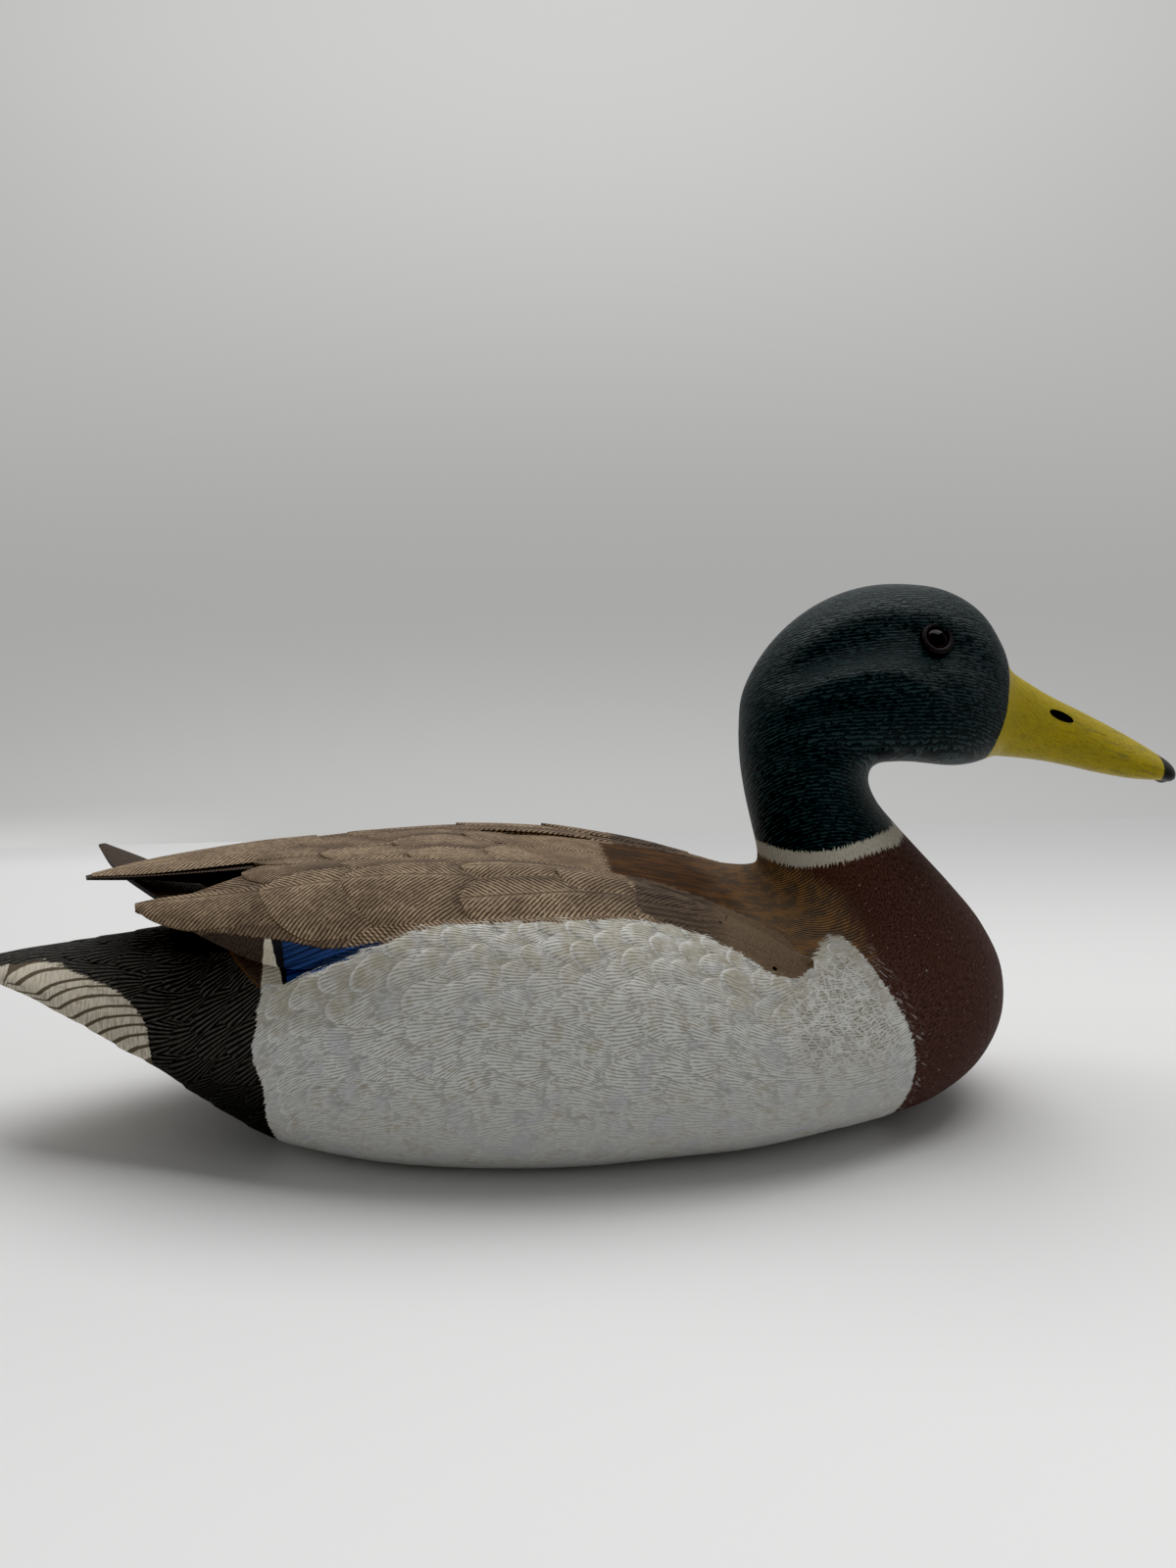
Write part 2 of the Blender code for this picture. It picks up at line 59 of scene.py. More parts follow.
# The sections of the sweep, from the tail to the bill. Each: lower point (x, z), upper point (x, z), share of
# the half width of its part, place of the widest line from lower (0) to upper (1), fullness below and above
# it, and on the tail the thickness of its edge. SECTIONS gives the half width of each part
BODY_SECTIONS = [
    (-210, 57, -210, 59.2, 0.02, 0.5, 2, 2, 0.4),
    (-208.5, 56, -208.5, 60, 0.078, 0.3, 2, 1.8, 1),
    (-205, 55.7, -205, 60.6, 0.13, 0.06, 2, 1.6, 1.6),
    (-198, 55, -198, 61.6, 0.2, -0.03, 2, 1.5, 2.2),
    (-189, 53.8, -189, 62.8, 0.266, -0.17, 2, 1.5, 2.4),
    (-180, 50.5, -180, 64, 0.331, -0.11, 2, 1.5, 2.4),
    (-170, 45, -170, 65.4, 0.396, 0, 2, 1.5, 2.4),
    (-160, 37.5, -160, 66.8, 0.455, 0.1, 2.1, 1.6, 2.2),
    (-150, 28.5, -150, 68.2, 0.503, 0.24, 2.2, 1.7, 1.6),
    (-138, 17, -138, 70, 0.569, 0.36, 2.3, 1.9, 0.8),
    (-126, 8, -126, 74.5, 0.643, 0.47, 2.5, 2.1, 0.2),
    (-112, 1.2, -112, 83, 0.726, 0.5, 2.9, 2.4),
    (-98, -1.5, -98, 89.8, 0.792, 0.48, 3.1, 2.5),
    (-80, -3.5, -80, 93.4, 0.87, 0.47, 3.3, 2.45),
    (-50, -5, -50, 94.6, 0.955, 0.475, 3.4, 2.35),
    (-15, -5, -15, 93, 1, 0.475, 3.4, 2.3),
    (16, -4.5, 14, 88, 0.993, 0.48, 3.1, 2.25),
    (45, -4, 34, 83.8, 0.968, 0.48, 2.85, 2.1),
    (72, -1.5, 43, 82.6, 0.922, 0.475, 2.6, 2),
    (97, 1, 48.5, 82.2, 0.848, 0.48, 2.45, 1.95),
    (119, 6, 52, 82.4, 0.752, 0.48, 2.35, 1.95),
    (135.5, 16.8, 54.2, 83, 0.652, 0.48, 2.3, 1.95),
    (143.6, 31.5, 55.6, 84, 0.565, 0.475, 2.25, 1.95),
    (143.8, 47, 56.2, 85.6, 0.494, 0.48, 2.15, 2),
    (136.8, 62.2, 56.2, 87.6, 0.437, 0.49, 2.1, 2),
    (124.8, 77, 55.9, 90.4, 0.392, 0.5, 2, 2),
]
NECK_SECTIONS = [
    (113.9, 88.7, 55, 94.4, 1.07, 0.5, 2, 2),
    (104.9, 98.4, 53.2, 101.5, 1.015, 0.5, 2, 2),
    (97.6, 107, 51, 111, 0.99, 0.5, 2, 2),
    (93.8, 114.5, 49.2, 122, 0.985, 0.5, 2, 2),
    (94, 119.8, 48.6, 133.5, 0.995, 0.5, 2, 2),
]
HEAD_SECTIONS = [
    (97, 122, 49.4, 144.5, 0.94, 0.5, 2, 2),
    (102, 122.4, 53.8, 155.2, 0.965, 0.48, 2.1, 2),
    (107.5, 122.1, 62.5, 166.8, 0.985, 0.46, 2.15, 2),
    (113, 121.4, 75, 176.4, 1, 0.43, 2.2, 2),
    (118, 120.8, 90, 182, 0.99, 0.4, 2.3, 2.05),
    (123, 120.5, 105.3, 183, 0.95, 0.37, 2.3, 2.1),
    (128, 120.9, 119.6, 180.6, 0.865, 0.36, 2.3, 2.1),
    (132.5, 121.9, 131.2, 173.6, 0.74, 0.36, 2.3, 2.1),
    (136, 122.8, 138.6, 163.2, 0.6, 0.37, 2.3, 2.1),
]
BILL_SECTIONS = [
    (139.5, 122.8, 143.4, 153.2, 1.01, 0.36, 2.3, 2),
    (147, 122, 151, 147.8, 0.86, 0.34, 2.4, 1.9),
    (155.5, 120.8, 160, 142.6, 0.8, 0.34, 2.5, 1.8),
    (165, 118.8, 169.5, 138, 0.81, 0.34, 2.6, 1.8),
    (176, 116.2, 180, 132.6, 0.9, 0.34, 2.6, 1.8),
    (187.5, 114.2, 190, 127.2, 1, 0.36, 2.6, 1.9),
    (196.5, 113.4, 197.6, 122.6, 0.96, 0.4, 2.4, 2),
    (202.3, 112.6, 202.9, 119, 0.7, 0.45, 2.2, 2),
    (204.6, 113.6, 205, 116.6, 0.27, 0.5, 2, 2),
]
SECTIONS = [(77.0, BODY_SECTIONS), (26.0, NECK_SECTIONS), (28.3, HEAD_SECTIONS), (12.8, BILL_SECTIONS)]
CHANNEL_LINE = [(56, 151), (66, 159.5), (80, 166), (97, 169), (111, 166.5), (124, 160.5), (138, 149)]
CHANNEL_STRENGTH = [0, 0.55, 0.9, 1, 1, 0.5, 0]
CHANNEL_SPREAD = 6.5
CHANNEL_DEPTH = 4.0

WING_TOP = [(-170, 82), (-157, 84), (-142, 85.8), (-130, 88), (-115, 91.4), (-90, 93.2)]
WING_FULLNESS = [(-160, 3.1), (-142, 3.1), (-126, 2.8), (-113, 2.6), (-90, 2.5)]
WING_INNER = [(64, 52), (56, 45), (46, 39.5), (31, 31.5), (13, 25.5), (-5, 22.5), (-30, 20), (-66, 15),
              (-98, 9), (-112, 9.5), (-124, 13), (-142, 19), (-155.5, 20)]
WING_OUTER = [(64, 55), (58, 60), (46, 61.5), (25, 59), (-5, 56), (-42, 55), (-66, 55), (-84, 55.5),
              (-98, 54.6), (-113, 50.4), (-125, 43.4), (-142, 30.8), (-155.5, 22.4)]
WING_LIFT = 2.8  # how far the folded wings stand proud along the back
WING_DROP = 4.0  # how much less at their outer edge
WING_FREE = (-85, 25)  # where their outer edge starts to come free of the flank, and over what length
WING_EDGE = 1.8  # their thickness at the edges
FEATHER_THICKNESS = 1.5
CORE_SPAN = (-78, -145.5)
CORE_INSET = 4.5  # how far the wood under a wing stands back from its edges
CORE_DEPTH = 30.0
CAPE_SPAN = (-20, -121)
CAPE_LIFT = 3.2
CAPE_SINK = 1.2
CAPE_THICKNESS = 5.5
CAPE_HALF_WIDTH = [(-121, 2), (-116, 9), (-104, 14), (-80, 19), (-50, 24), (-20, 26)]
LEFT_PRIMARIES = [(-98, 10, 92.2), (-118, 4, 91.6), (-137, 0, 91), (-156, -4, 90.6), (-173, -9, 90)]
LEFT_TOP_PRIMARY = [(-96, 10, 94), (-115, 5, 93.8), (-134, 0.5, 92.9), (-153, -4, 91.7), (-171, -8.6, 90.6)]
TOP_HALF_WIDTHS = [10, 10, 8.8, 6.6, 1.6]
RIGHT_PRIMARIES = [(-116, -24, 78), (-134, -11, 80.4), (-149, 3, 84), (-162, 14, 88.4), (-173, 24, 92.6)]
PRIMARY_HALF_WIDTHS = [11.5, 11.5, 10, 7.5, 1.6]

EYE_AT = (111.0, 166.5)
EYE_RADIUS = 5.25
EYE_INSET = 2.8
LID_RADIUS = 4.7
LID_THICKNESS = 2.3
LID_FACES = (56, 16)  # round the eye, and round the ring itself
NOSTRIL_AT = (160.5, 137.4)
NOSTRIL_RADII = (4.9, 2.8, 1.6)
NOSTRIL_SLOPE = 23  # degrees
NAIL_AT = (203.8, 0, 115.4)
NAIL_RADII = (3.6, 5.4, 4.1)

# From here on lengths are in the frame of the CAD, not on the drawing grid
FLANK = [(-110.5, 65.3), (-107, 65.4), (-103, 66), (-97, 69), (-90, 72), (-82, 75), (-75, 78), (-66, 81),
         (-61, 82.5), (-53, 83.5), (-36, 84), (-11, 83.5), (0, 83), (13, 81.5), (21, 79.5), (31, 76.5),
         (38, 73), (45, 69.5), (50, 66), (58, 63), (62, 63), (66, 65.5), (72, 69.5), (75, 71), (79, 70.5),
         (84, 67), (88, 62), (93, 55), (98, 46), (101, 38), (101.5, 30), (100, 22), (97, 12), (92, -30),
         (-106, -30), (-109, 10), (-111, 20), (-111, 27), (-111.5, 33), (-114, 40), (-114.5, 46),
         (-112.5, 52), (-112.5, 57), (-111, 61)]
WING_LOW = [(-140, 79), (-135, 75.8), (-128.5, 72.2), (-122, 68.9), (-116.5, 66), (-111.5, 63.4),
            (-106, 60.5), (66, 60.5)]
COLLAR_TOP = [(40, 92.5), (55, 94), (60, 95.3), (66, 95), (72, 96), (79, 97), (86, 99), (94, 100.5),
              (106, 101)]
COLLAR_LOW = [(40, 87), (55, 88), (60, 89.5), (67, 89.5), (74, 91), (81, 92.6), (91, 95), (100, 96),
              (112, 96.5)]
BILL_BASE = [(110, 133), (122, 134), (126, 135), (132, 136.4), (136, 138), (141, 139.8), (149, 141),
             (154, 142), (170, 144)]
MANTLE = [(50, 60), (58, 84), (60, 91), (64, 89), (70, 87), (75, 85), (80, 83), (84, 79), (88, 72),
          (92, 66), (100, 56)]
PLATE_LOW = [(-160, 24), (-150, 29), (-139, 35), (-134, 36), (-122, 41), (-114, 44.8), (-104, 48),
             (-91, 52), (-80, 53.4), (-72, 54.4), (-66, 60)]
STRIPES_TOP = [(-206, 58.2), (-201, 59.6), (-188, 61.3), (-179, 60.8), (-174, 59.4), (-169, 58.2),
               (-161, 56.2), (-157, 54.2), (-154, 52), (-151, 49), (-149, 45), (-148, 40), (-147.5, 30)]
PRICKS = [(37, -44, 78), (48, -53, 69), (53, -56, 66)]  # dark specks on the front of the right wing
STRIPE_STARTS = [(-199, 57), (-194, 55.8), (-186, 53.5), (-183, 52), (-179, 49.9), (-174, 47.3), (-170, 45),
                 (-166, 42.6), (-161, 40.4), (-156, 37.6), (-151, 34.4)]


# Curves

def smooth_through(knots, values, at):
    """A smooth curve through the values at uneven knots, read at the places asked."""
    knots = np.asarray(knots, float)
    values = np.asarray(values, float).reshape(len(knots), -1)
    gaps = np.diff(knots)[:, None]
    slopes = np.diff(values, axis=0) / gaps
    tangents = np.empty_like(values)
    tangents[0], tangents[-1] = slopes[0], slopes[-1]
    tangents[1:-1] = (slopes[:-1] * gaps[1:] + slopes[1:] * gaps[:-1]) / (gaps[:-1] + gaps[1:])
    at = np.atleast_1d(np.asarray(at, float))
    place = np.clip(np.searchsorted(knots, at, side="right") - 1, 0, len(gaps) - 1)
    gap = gaps[place]
    t = (at - knots[place])[:, None] / gap
    return (
        (2 * t**3 - 3 * t**2 + 1) * values[place]
        + (t**3 - 2 * t**2 + t) * gap * tangents[place]
        + (3 * t**2 - 2 * t**3) * values[place + 1]
        + (t**3 - t**2) * gap * tangents[place + 1]
    )


def read_curve(points, x):
    """The second value of a smooth curve of points at one x."""
    points = np.array(sorted(points), float)
    return float(smooth_through(points[:, 0], points[:, 1], x)[0, 0])


def ease(low, high, x):
    """0 below low, 1 above high, smooth between."""
    t = np.clip((np.asarray(x, float) - low) / (high - low), 0, 1)
    return t * t * (3 - 2 * t)


def distance_in(outline, x, z):
    """How far each point lies inside a closed outline: negative outside it."""
    outline = np.array(outline, float)
    best = np.full(x.shape, 1e9)
    inside = np.zeros(x.shape, bool)
    for (ax, az), (bx, bz) in zip(outline, np.roll(outline, -1, axis=0)):
        length = (bx - ax) ** 2 + (bz - az) ** 2
        t = np.clip(((x - ax) * (bx - ax) + (z - az) * (bz - az)) / length, 0, 1)
        best = np.minimum(best, np.hypot(x - ax - t * (bx - ax), z - az - t * (bz - az)))
        crosses = (az > z) != (bz > z)
        inside ^= crosses & (x < ax + (bx - ax) * (z - az) / np.where(crosses, bz - az, 1))
    return np.where(inside, best, -best)


def above(line, x, z):
    """How far each point lies above a line that runs along x."""
    line = np.array(line, float)
    height = np.interp(x, line[:, 0], line[:, 1])
    slope = (np.interp(x + 1, line[:, 0], line[:, 1]) - np.interp(x - 1, line[:, 0], line[:, 1])) / 2
    return (z - height) / np.sqrt(1 + slope**2)


def beside(line, x, z, spread):
    """1 on a line that runs along x, and less with the height above or below it."""
    line = np.array(line, float)
    return np.exp(-(((z - np.interp(x, line[:, 0], line[:, 1])) / spread) ** 2))


# The sweep

def all_sections():
    """One row a section, with its half width in mm and an edge thickness."""
    rows = [[*row[:4], width * row[4], *row[5:], 0.0][:9] for width, part in SECTIONS for row in part]
    return np.array(rows, float)


def read_sections(rows, spacing):
    """The sections, read smoothly along the longer side of the sweep, at a spacing that differs along it."""
    lower = np.linalg.norm(np.diff(rows[:, 0:2], axis=0), axis=1)
    upper = np.linalg.norm(np.diff(rows[:, 2:4], axis=0), axis=1)
    knots = np.concatenate([[0], np.cumsum(np.maximum(lower, upper))])
    fine = np.linspace(0, knots[-1], 4000)
    steps = np.interp(fine, knots, spacing)
    count = np.concatenate([[0], np.cumsum(np.diff(fine) / steps[1:])])
    at = np.interp(np.linspace(0, count[-1], int(count[-1]) + 1), count, fine)
    return smooth_through(knots, rows, at)


def half_rings(rows, count):
    """Points up the right half of each section and their girth from the ridge.

    On the body the points lie closest on the flank, and far apart underneath and under the wings."""
    angles = np.linspace(-math.pi / 2, math.pi / 2, 361)[None, :]
    sine, cosine = np.sin(angles), np.cos(angles)
    half_width, widest, full_low, full_high, edge = (rows[:, i : i + 1] for i in range(4, 9))
    is_upper = sine > -1e-9
    power = 2 / np.where(is_upper, full_high, full_low)
    rise = np.abs(sine) ** power
    side = np.abs(cosine) ** power * half_width
    share = np.where(is_upper, widest + (1 - widest) * rise, widest * (1 - rise))
    x = rows[:, 0:1] + (rows[:, 2:3] - rows[:, 0:1]) * share
    z = rows[:, 1:2] + (rows[:, 3:4] - rows[:, 1:2]) * share
    z += np.where(is_upper, edge, -edge) / 2 * np.abs(cosine)
    strength = np.interp(x, [at for at, _ in CHANNEL_LINE], CHANNEL_STRENGTH, left=0, right=0)
    hollow = strength * beside(CHANNEL_LINE, x, z, CHANNEL_SPREAD)
    side = side - CHANNEL_DEPTH * hollow * ease(0.28, 0.72, side / np.maximum(half_width, 1))
    points = np.stack([x, -side, z], axis=2)
    steps = np.linalg.norm(np.diff(points, axis=1), axis=2)
    girth = np.concatenate([np.zeros((len(rows), 1)), np.cumsum(steps, axis=1)], axis=1)
    made = np.empty((len(rows), count + 1, 3))
    girths = np.empty((len(rows), count + 1))
    share = np.linspace(0, 1, 400)
    middle = (rows[:, 0] + rows[:, 2]) / 2
    for i, (even, ridge) in enumerate(zip(ease(60, 110, middle), ease(-10, 30, middle))):
        top = 1 / (0.4 + 0.5 * ridge)
        gap = np.interp(share, [0.27, 0.32, 0.74, 0.80], [3.3, 0.75, 0.75, top])
        density = 1 / (gap * (1 - even) + even)
        spaced = np.concatenate([[0], np.cumsum((density[1:] + density[:-1]) / 2)])
        reach = np.interp(np.linspace(0, spaced[-1], count + 1), spaced, share) * girth[i, -1]
        for k in range(3):
            made[i, :, k] = np.interp(reach, girth[i], points[i, :, k])
        girths[i] = girth[i, -1] - reach
    return made, girths


def grid_normals(points):
    """A unit normal at each point of a grid of points, to the side of its first axis times its second."""
    along = np.gradient(points, axis=0)
    across = np.gradient(points, axis=1)
    normals = np.cross(along, across)
    return normals / np.maximum(np.linalg.norm(normals, axis=2, keepdims=True), 1e-9)


# One formula gives both the carved feathers and their paint: these work on arrays and on shader values

def sine(x):
    return x.sine() if isinstance(x, Num) else np.sin(x)


def floor(x):
    return x.floor() if isinstance(x, Num) else np.floor(x)


def root(x):
    return x.root() if isinstance(x, Num) else np.sqrt(np.maximum(x, 0))


def choose(test, yes, no):
    """yes where the test is over 0, no elsewhere."""
    if isinstance(test, Num):
        pick = test > 0
        return no + (yes - no) * pick
    return np.where(test > 0, yes, no)


def scales(s, t, pitch, width):
    """Overlapping rows of feathers. s runs rearwards and t across, in mm.

    Returns, at each point, the distance from the root of the feather on top there, the distance from its
    middle line, the distance to its edge, and a number that differs from feather to feather."""
    along = s + sine(t * 0.11 + s * 0.05) * 2.1 + sine(t * 0.23 - s * 0.1 + 1.3) * 0.9
    across = t + sine(s * 0.09 + t * 0.05 + 0.5) * 1.8 + sine(s * 0.23 + 2.1) * 0.6

    def feather(row):
        shift = row * 0.5 - floor(row * 0.5) + sine(row * 2.4) * 0.16
        column = floor(across * (1 / width) - shift) + 0.5 + shift
        off = across - column * width
        far = along - row * pitch
        bulge = root((off * off) * (-4 / width**2) + 1)
        end = (bulge * 0.75 + sine(column * 1.7 + row * 3.1) * 0.14 + 1.0) * pitch
        return far, off, end - far, column * 3.7 + row * 5.3

    first = floor(along * (1 / pitch))
    upper, lower = feather(first - 1), feather(first)
    return [choose(upper[2], a, b) for a, b in zip(upper, lower)]


FLANK_PITCH, FLANK_WIDTH = 8.6, 9.6
PATTERN_STEP = 400  # from the pattern of one wing feather to the next

# Hollows and ridges carved along lines on the side of the head: x, z and height in mm, and a spread
HEAD_LINES = [
    ([(56, 150, 0), (64, 156, -0.9), (72, 159.5, -1.4), (80, 162.5, -1.5), (90, 164.5, -1.5),
      (100, 164.5, -1.3), (108, 161.5, -0.8), (117, 155, 0)], 3.6),
    ([(58, 141, 0), (64, 146.5, 0.7), (72, 151.5, 1.2), (80, 154.5, 1.5), (90, 156.5, 1.6),
      (100, 156, 1.4), (108, 152, 1), (115, 146, 0.6), (121, 138, 0)], 3.6),
    ([(52, 132, 0), (60, 138, -0.9), (68, 144, -1.5), (76, 147.5, -1.6), (86, 149, -1.4),
      (96, 148.5, -1), (106, 145, -0.4), (114, 140, 0)], 4.6),
    ([(52, 129, 0), (60, 130.5, -1.1), (72, 131.5, -1.6), (84, 131.5, -1.3), (98, 130, 0)], 3.4),
    ([(54, 124, 0), (64, 124, 0.5), (76, 123.5, 0.7), (90, 122, 0)], 3.2),
]


def wing_mark(x, y):
    """How far each point lies outside the inner edge of a wing, which rounds off at its front."""
    inner = np.array(WING_INNER[::-1], float)
    edge = np.interp(x + MIDDLE, inner[:, 0], inner[:, 1]) + 0.12 * np.maximum(x - 58, 0) ** 2
    return np.where(x < 66, np.abs(y) - edge, -9.0)


def carve(points, s, t):
    """How far the surface of the sweep stands out at each point, for the relief that is carved in it.

    In order: the upper lip of the flank, the rows of feathers on the flank and on the rump, the wing's lower
    plate, the front of the wing on the shoulder, and the lines on the head. Near the widest line of the body
    the relief fades, so that it keeps the width of the solid."""
    x, y, z = points[..., 0], points[..., 1], points[..., 2]
    flank = distance_in(FLANK, x, z)
    top_edge = ease(52, 66, z) * ease(-118, -104, x)
    lip = 1.25 * ease(-0.8, 1.2, flank) * (1 - ease(2, 15, flank)) * top_edge
    far, _, edge, _ = scales(s, np.abs(t), FLANK_PITCH, FLANK_WIDTH)
    tile = far / FLANK_PITCH * 0.7 * ease(-0.1, 1.2, edge) - 0.42
    strength = 0.28 + 0.80 * np.exp(-np.maximum(flank, 0) / 13) * ease(40, 62, z)
    strength = strength * (1 - 0.65 * ease(62, 72, x) * ease(28, 40, z))
    relief = lip + tile * np.minimum(strength, 1.15) * ease(-0.5, 1.5, flank)
    far, _, edge, _ = scales(s * 0.82, np.abs(t) * 0.82, FLANK_PITCH, FLANK_WIDTH)
    rump = ease(-0.5, 1.5, -flank) * ease(-108, -114, x)
    tile = (far / FLANK_PITCH * 0.5 * ease(-0.1, 1.2, edge) - 0.3) * 0.9
    relief = relief + tile * rump * ease(-190, -170, x)
    wing_low = ease(-0.6, 0.8, above(WING_LOW, x, z)) * ease(-139, -133, x) * ease(-106, -110, x)
    relief = relief * ease(3, 12, z) * (1 - wing_low) + 1.1 * wing_low
    shoulder = ease(-4.6, -3.2, wing_mark(x, y)) * ease(6, 16, x) * ease(58, 66, z) * ease(1.0, -1.0, flank)
    relief = relief + 0.9 * shoulder * (x < 66)
    for line, spread in HEAD_LINES:
        height = np.interp(x, [at for at, _, _ in line], [high for _, _, high in line], left=0, right=0)
        relief = relief + height * beside(line, x, z, spread) * (z > 110)
    return np.where(np.abs(y) > 60, np.minimum(relief, (77.05 - np.abs(y)) * 0.9), relief)


def paint_marks(x, y, z):
    """The distances that the paint follows, at each vertex."""
    starts = np.array(STRIPE_STARTS, float)
    guess = np.linspace(-206, -146, 121)
    edge = np.interp(guess, starts[:, 0], starts[:, 1])
    number = np.interp(guess, starts[:, 0], np.arange(len(starts)))
    stripes = np.full(x.shape, -5.0)
    for i in np.flatnonzero(x < -140):
        gap = edge + 4.8 * (1 - np.exp(-np.maximum(x[i] - guess, 0) / 5.5)) - z[i]
        stripes[i] = -0.5 if gap[0] < 0 or x[i] < starts[0, 0] else np.interp(0, -gap, number)
    bill, mantle, plate = (np.array(line, float) for line in (BILL_BASE, MANTLE, PLATE_LOW))
    return {
        "flank": distance_in(FLANK, x, z),
        "collar_top": above(COLLAR_TOP, x, z),
        "collar_low": above(COLLAR_LOW, x, z),
        "bill": x - np.interp(z, bill[:, 0], bill[:, 1]),
        "mantle": np.interp(z, mantle[:, 0], mantle[:, 1]) - x,
        "band": np.maximum(np.abs(y) - np.interp(x, plate[:, 0], plate[:, 1]), 75.5 - z),
        "winged": wing_mark(x, y),
        "low": above(WING_LOW, x, z),
        "cream": -above(STRIPES_TOP, x, z),
        "stripes": stripes,
    }


# Meshes

def grid_faces(n, m):
    """The faces between n rows of m points."""
    return [(a, a + 1, a + m + 1, a + m) for i in range(n - 1) for a in range(i * m, i * m + m - 1)]


def mesh_object(name, verts, faces, corner_uv, paint):
    """An object of points in mm, with a place on the pattern at each corner and the number of its paint."""
    data = bpy.data.meshes.new(name)
    data.from_pydata((np.asarray(verts) * MM).tolist(), [], faces)
    layer = data.uv_layers.new(name="pattern")
    layer.data.foreach_set("uv", np.asarray(corner_uv, np.float32).ravel())
    data.attributes.new("shade", "FLOAT", "POINT")
    for material in PAINTS:
        data.materials.append(material)
    data.polygons.foreach_set("material_index", np.broadcast_to(paint, len(data.polygons)).copy())
    made = bpy.data.objects.new(name, data)
    bpy.context.scene.collection.objects.link(made)
    return made


def mark_paint(data):
    """Keeps the distances that the paint follows, in mm, on the points of a finished mesh."""
    spots = np.empty(len(data.vertices) * 3)
    data.vertices.foreach_get("co", spots)
    for mark, values in paint_marks(*(spots.reshape(-1, 3).T / MM)).items():
        data.attributes.new(mark, "FLOAT", "POINT").data.foreach_set("value", values.astype(np.float32))


def sweep_object(name, rows, count, paint):
    """The closed skin over the sections, carved."""
    middle = rows[:, 0:2] + (rows[:, 2:4] - rows[:, 0:2]) * rows[:, 5:6]
    s = np.concatenate([[0], np.cumsum(np.linalg.norm(np.diff(middle, axis=0), axis=1))])
    right, girth = half_rings(rows, count)
    flow = np.repeat((s[-1] - s)[:, None], count + 1, axis=1)
    normals = grid_normals(right)
    right = right + normals * carve(right + [-MIDDLE, 0, 0], flow, girth)[:, :, None]
    right[:, [0, -1], 1] = 0
    right[:, :, 0] -= MIDDLE
    right[:, :, 2] = np.clip(right[:, :, 2], 0, HEIGHT)
    left = right[:, -2:0:-1] * [1, -1, 1]
    ring = 2 * count
    verts = np.concatenate([right, left], axis=1).reshape(-1, 3)
    around = np.concatenate([girth, -girth[:, -2::-1]], axis=1)
    faces, uv = [], []
    for i in range(len(rows) - 1):
        for j in range(ring):
            k = (j + 1) % ring
            faces.append((i * ring + j, (i + 1) * ring + j, (i + 1) * ring + k, i * ring + k))
            for a, b in ((i, j), (i + 1, j), (i + 1, j + 1), (i, j + 1)):
                uv.append((flow[a, 0], around[a, b]))
    for i, flip in ((0, True), (len(rows) - 1, False)):
        pole = len(verts)
        verts = np.vstack([verts, verts[i * ring : (i + 1) * ring].mean(axis=0)])
        for j in range(ring):
            a, b = i * ring + j, i * ring + (j + 1) % ring
            faces.append((a, b, pole) if flip else (b, a, pole))
            uv += [(flow[i, 0], 0.0)] * 3
    return mesh_object(name, verts, faces, uv, paint)


def slab(name, top, thickness, uv, paints):
    """A closed plate under a grid of top points, thickened downwards along its normals.

    paints are the numbers of the paints of its top, its underside and its rim."""
    n, m = top.shape[:2]
    count = n * m
    normals = grid_normals(top)
    normals *= np.sign(normals[..., 2:3].sum())
    bottom = top - normals * np.broadcast_to(thickness, (n, m))[..., None]
    verts = np.concatenate([top.reshape(-1, 3), bottom.reshape(-1, 3)])
    flat_uv = np.asarray(uv, float).reshape(-1, 2)
    faces = []
    for a, b, c, d in grid_faces(n, m):
        faces += [(a, b, c, d), (a + count, d + count, c + count, b + count)]
    rim = list(range(m)) + [i * m + m - 1 for i in range(1, n)]
    rim += [(n - 1) * m + j for j in range(m - 2, -1, -1)] + [i * m for i in range(n - 2, 0, -1)]
    for a, b in zip(rim, rim[1:] + rim[:1]):
        faces.append((b, a, a + count, b + count))
    if np.cross(top[1, 0] - top[0, 0], top[0, 1] - top[0, 0])[2] > 0:
        faces = [face[::-1] for face in faces]
    corner_uv = [flat_uv[v % count] for face in faces for v in face]
    paints = paints[:2] * ((n - 1) * (m - 1)) + paints[2:] * len(rim)
    return mesh_object(name, verts, faces, corner_uv, paints)


def join(base, parts, operation="UNION"):
    """Joins closed meshes to a base, or takes them away from it, as one closed mesh."""
    for part in parts:
        made = base.modifiers.new(part.name, "BOOLEAN")
        made.operation = operation
        made.solver = "MANIFOLD"
        made.object = part
    graph = bpy.context.evaluated_depsgraph_get()
    data = bpy.data.meshes.new_from_object(base.evaluated_get(graph))
    base.modifiers.clear()
    base.data = data
    for part in parts:
        bpy.data.objects.remove(part)
    return base


# The wings

def bulk_tree():
    """The sweep with its back raised over the rump: the form that the folded wings lie on."""
    rows = all_sections()
    for row in rows:
        if row[2] < WING_TOP[-1][0]:
            row[3] = read_curve(WING_TOP, row[2])
            row[7] = read_curve(WING_FULLNESS, row[2])
    rows = read_sections(rows, np.full(len(rows), 3.0))
    right, _ = half_rings(rows, 70)
    right = right[rows[:, 0] < 100]
    ring = np.concatenate([right, right[:, -2::-1] * [1, -1, 1]], axis=1)
    return BVHTree.FromPolygons(ring.reshape(-1, 3).tolist(), grid_faces(*ring.shape[:2]))


BULK = bulk_tree()


def height_on(x, y):
    return BULK.ray_cast(Vector((x, y, 400)), Vector((0, 0, -1)))[0].z


def wing_share(x, y):
    """0 at a wing's inner edge, 1 at its outer edge."""
    inner, outer = read_curve(WING_INNER, x), read_curve(WING_OUTER, x)
    return (abs(y) - inner) / max(outer - inner, 0.5)


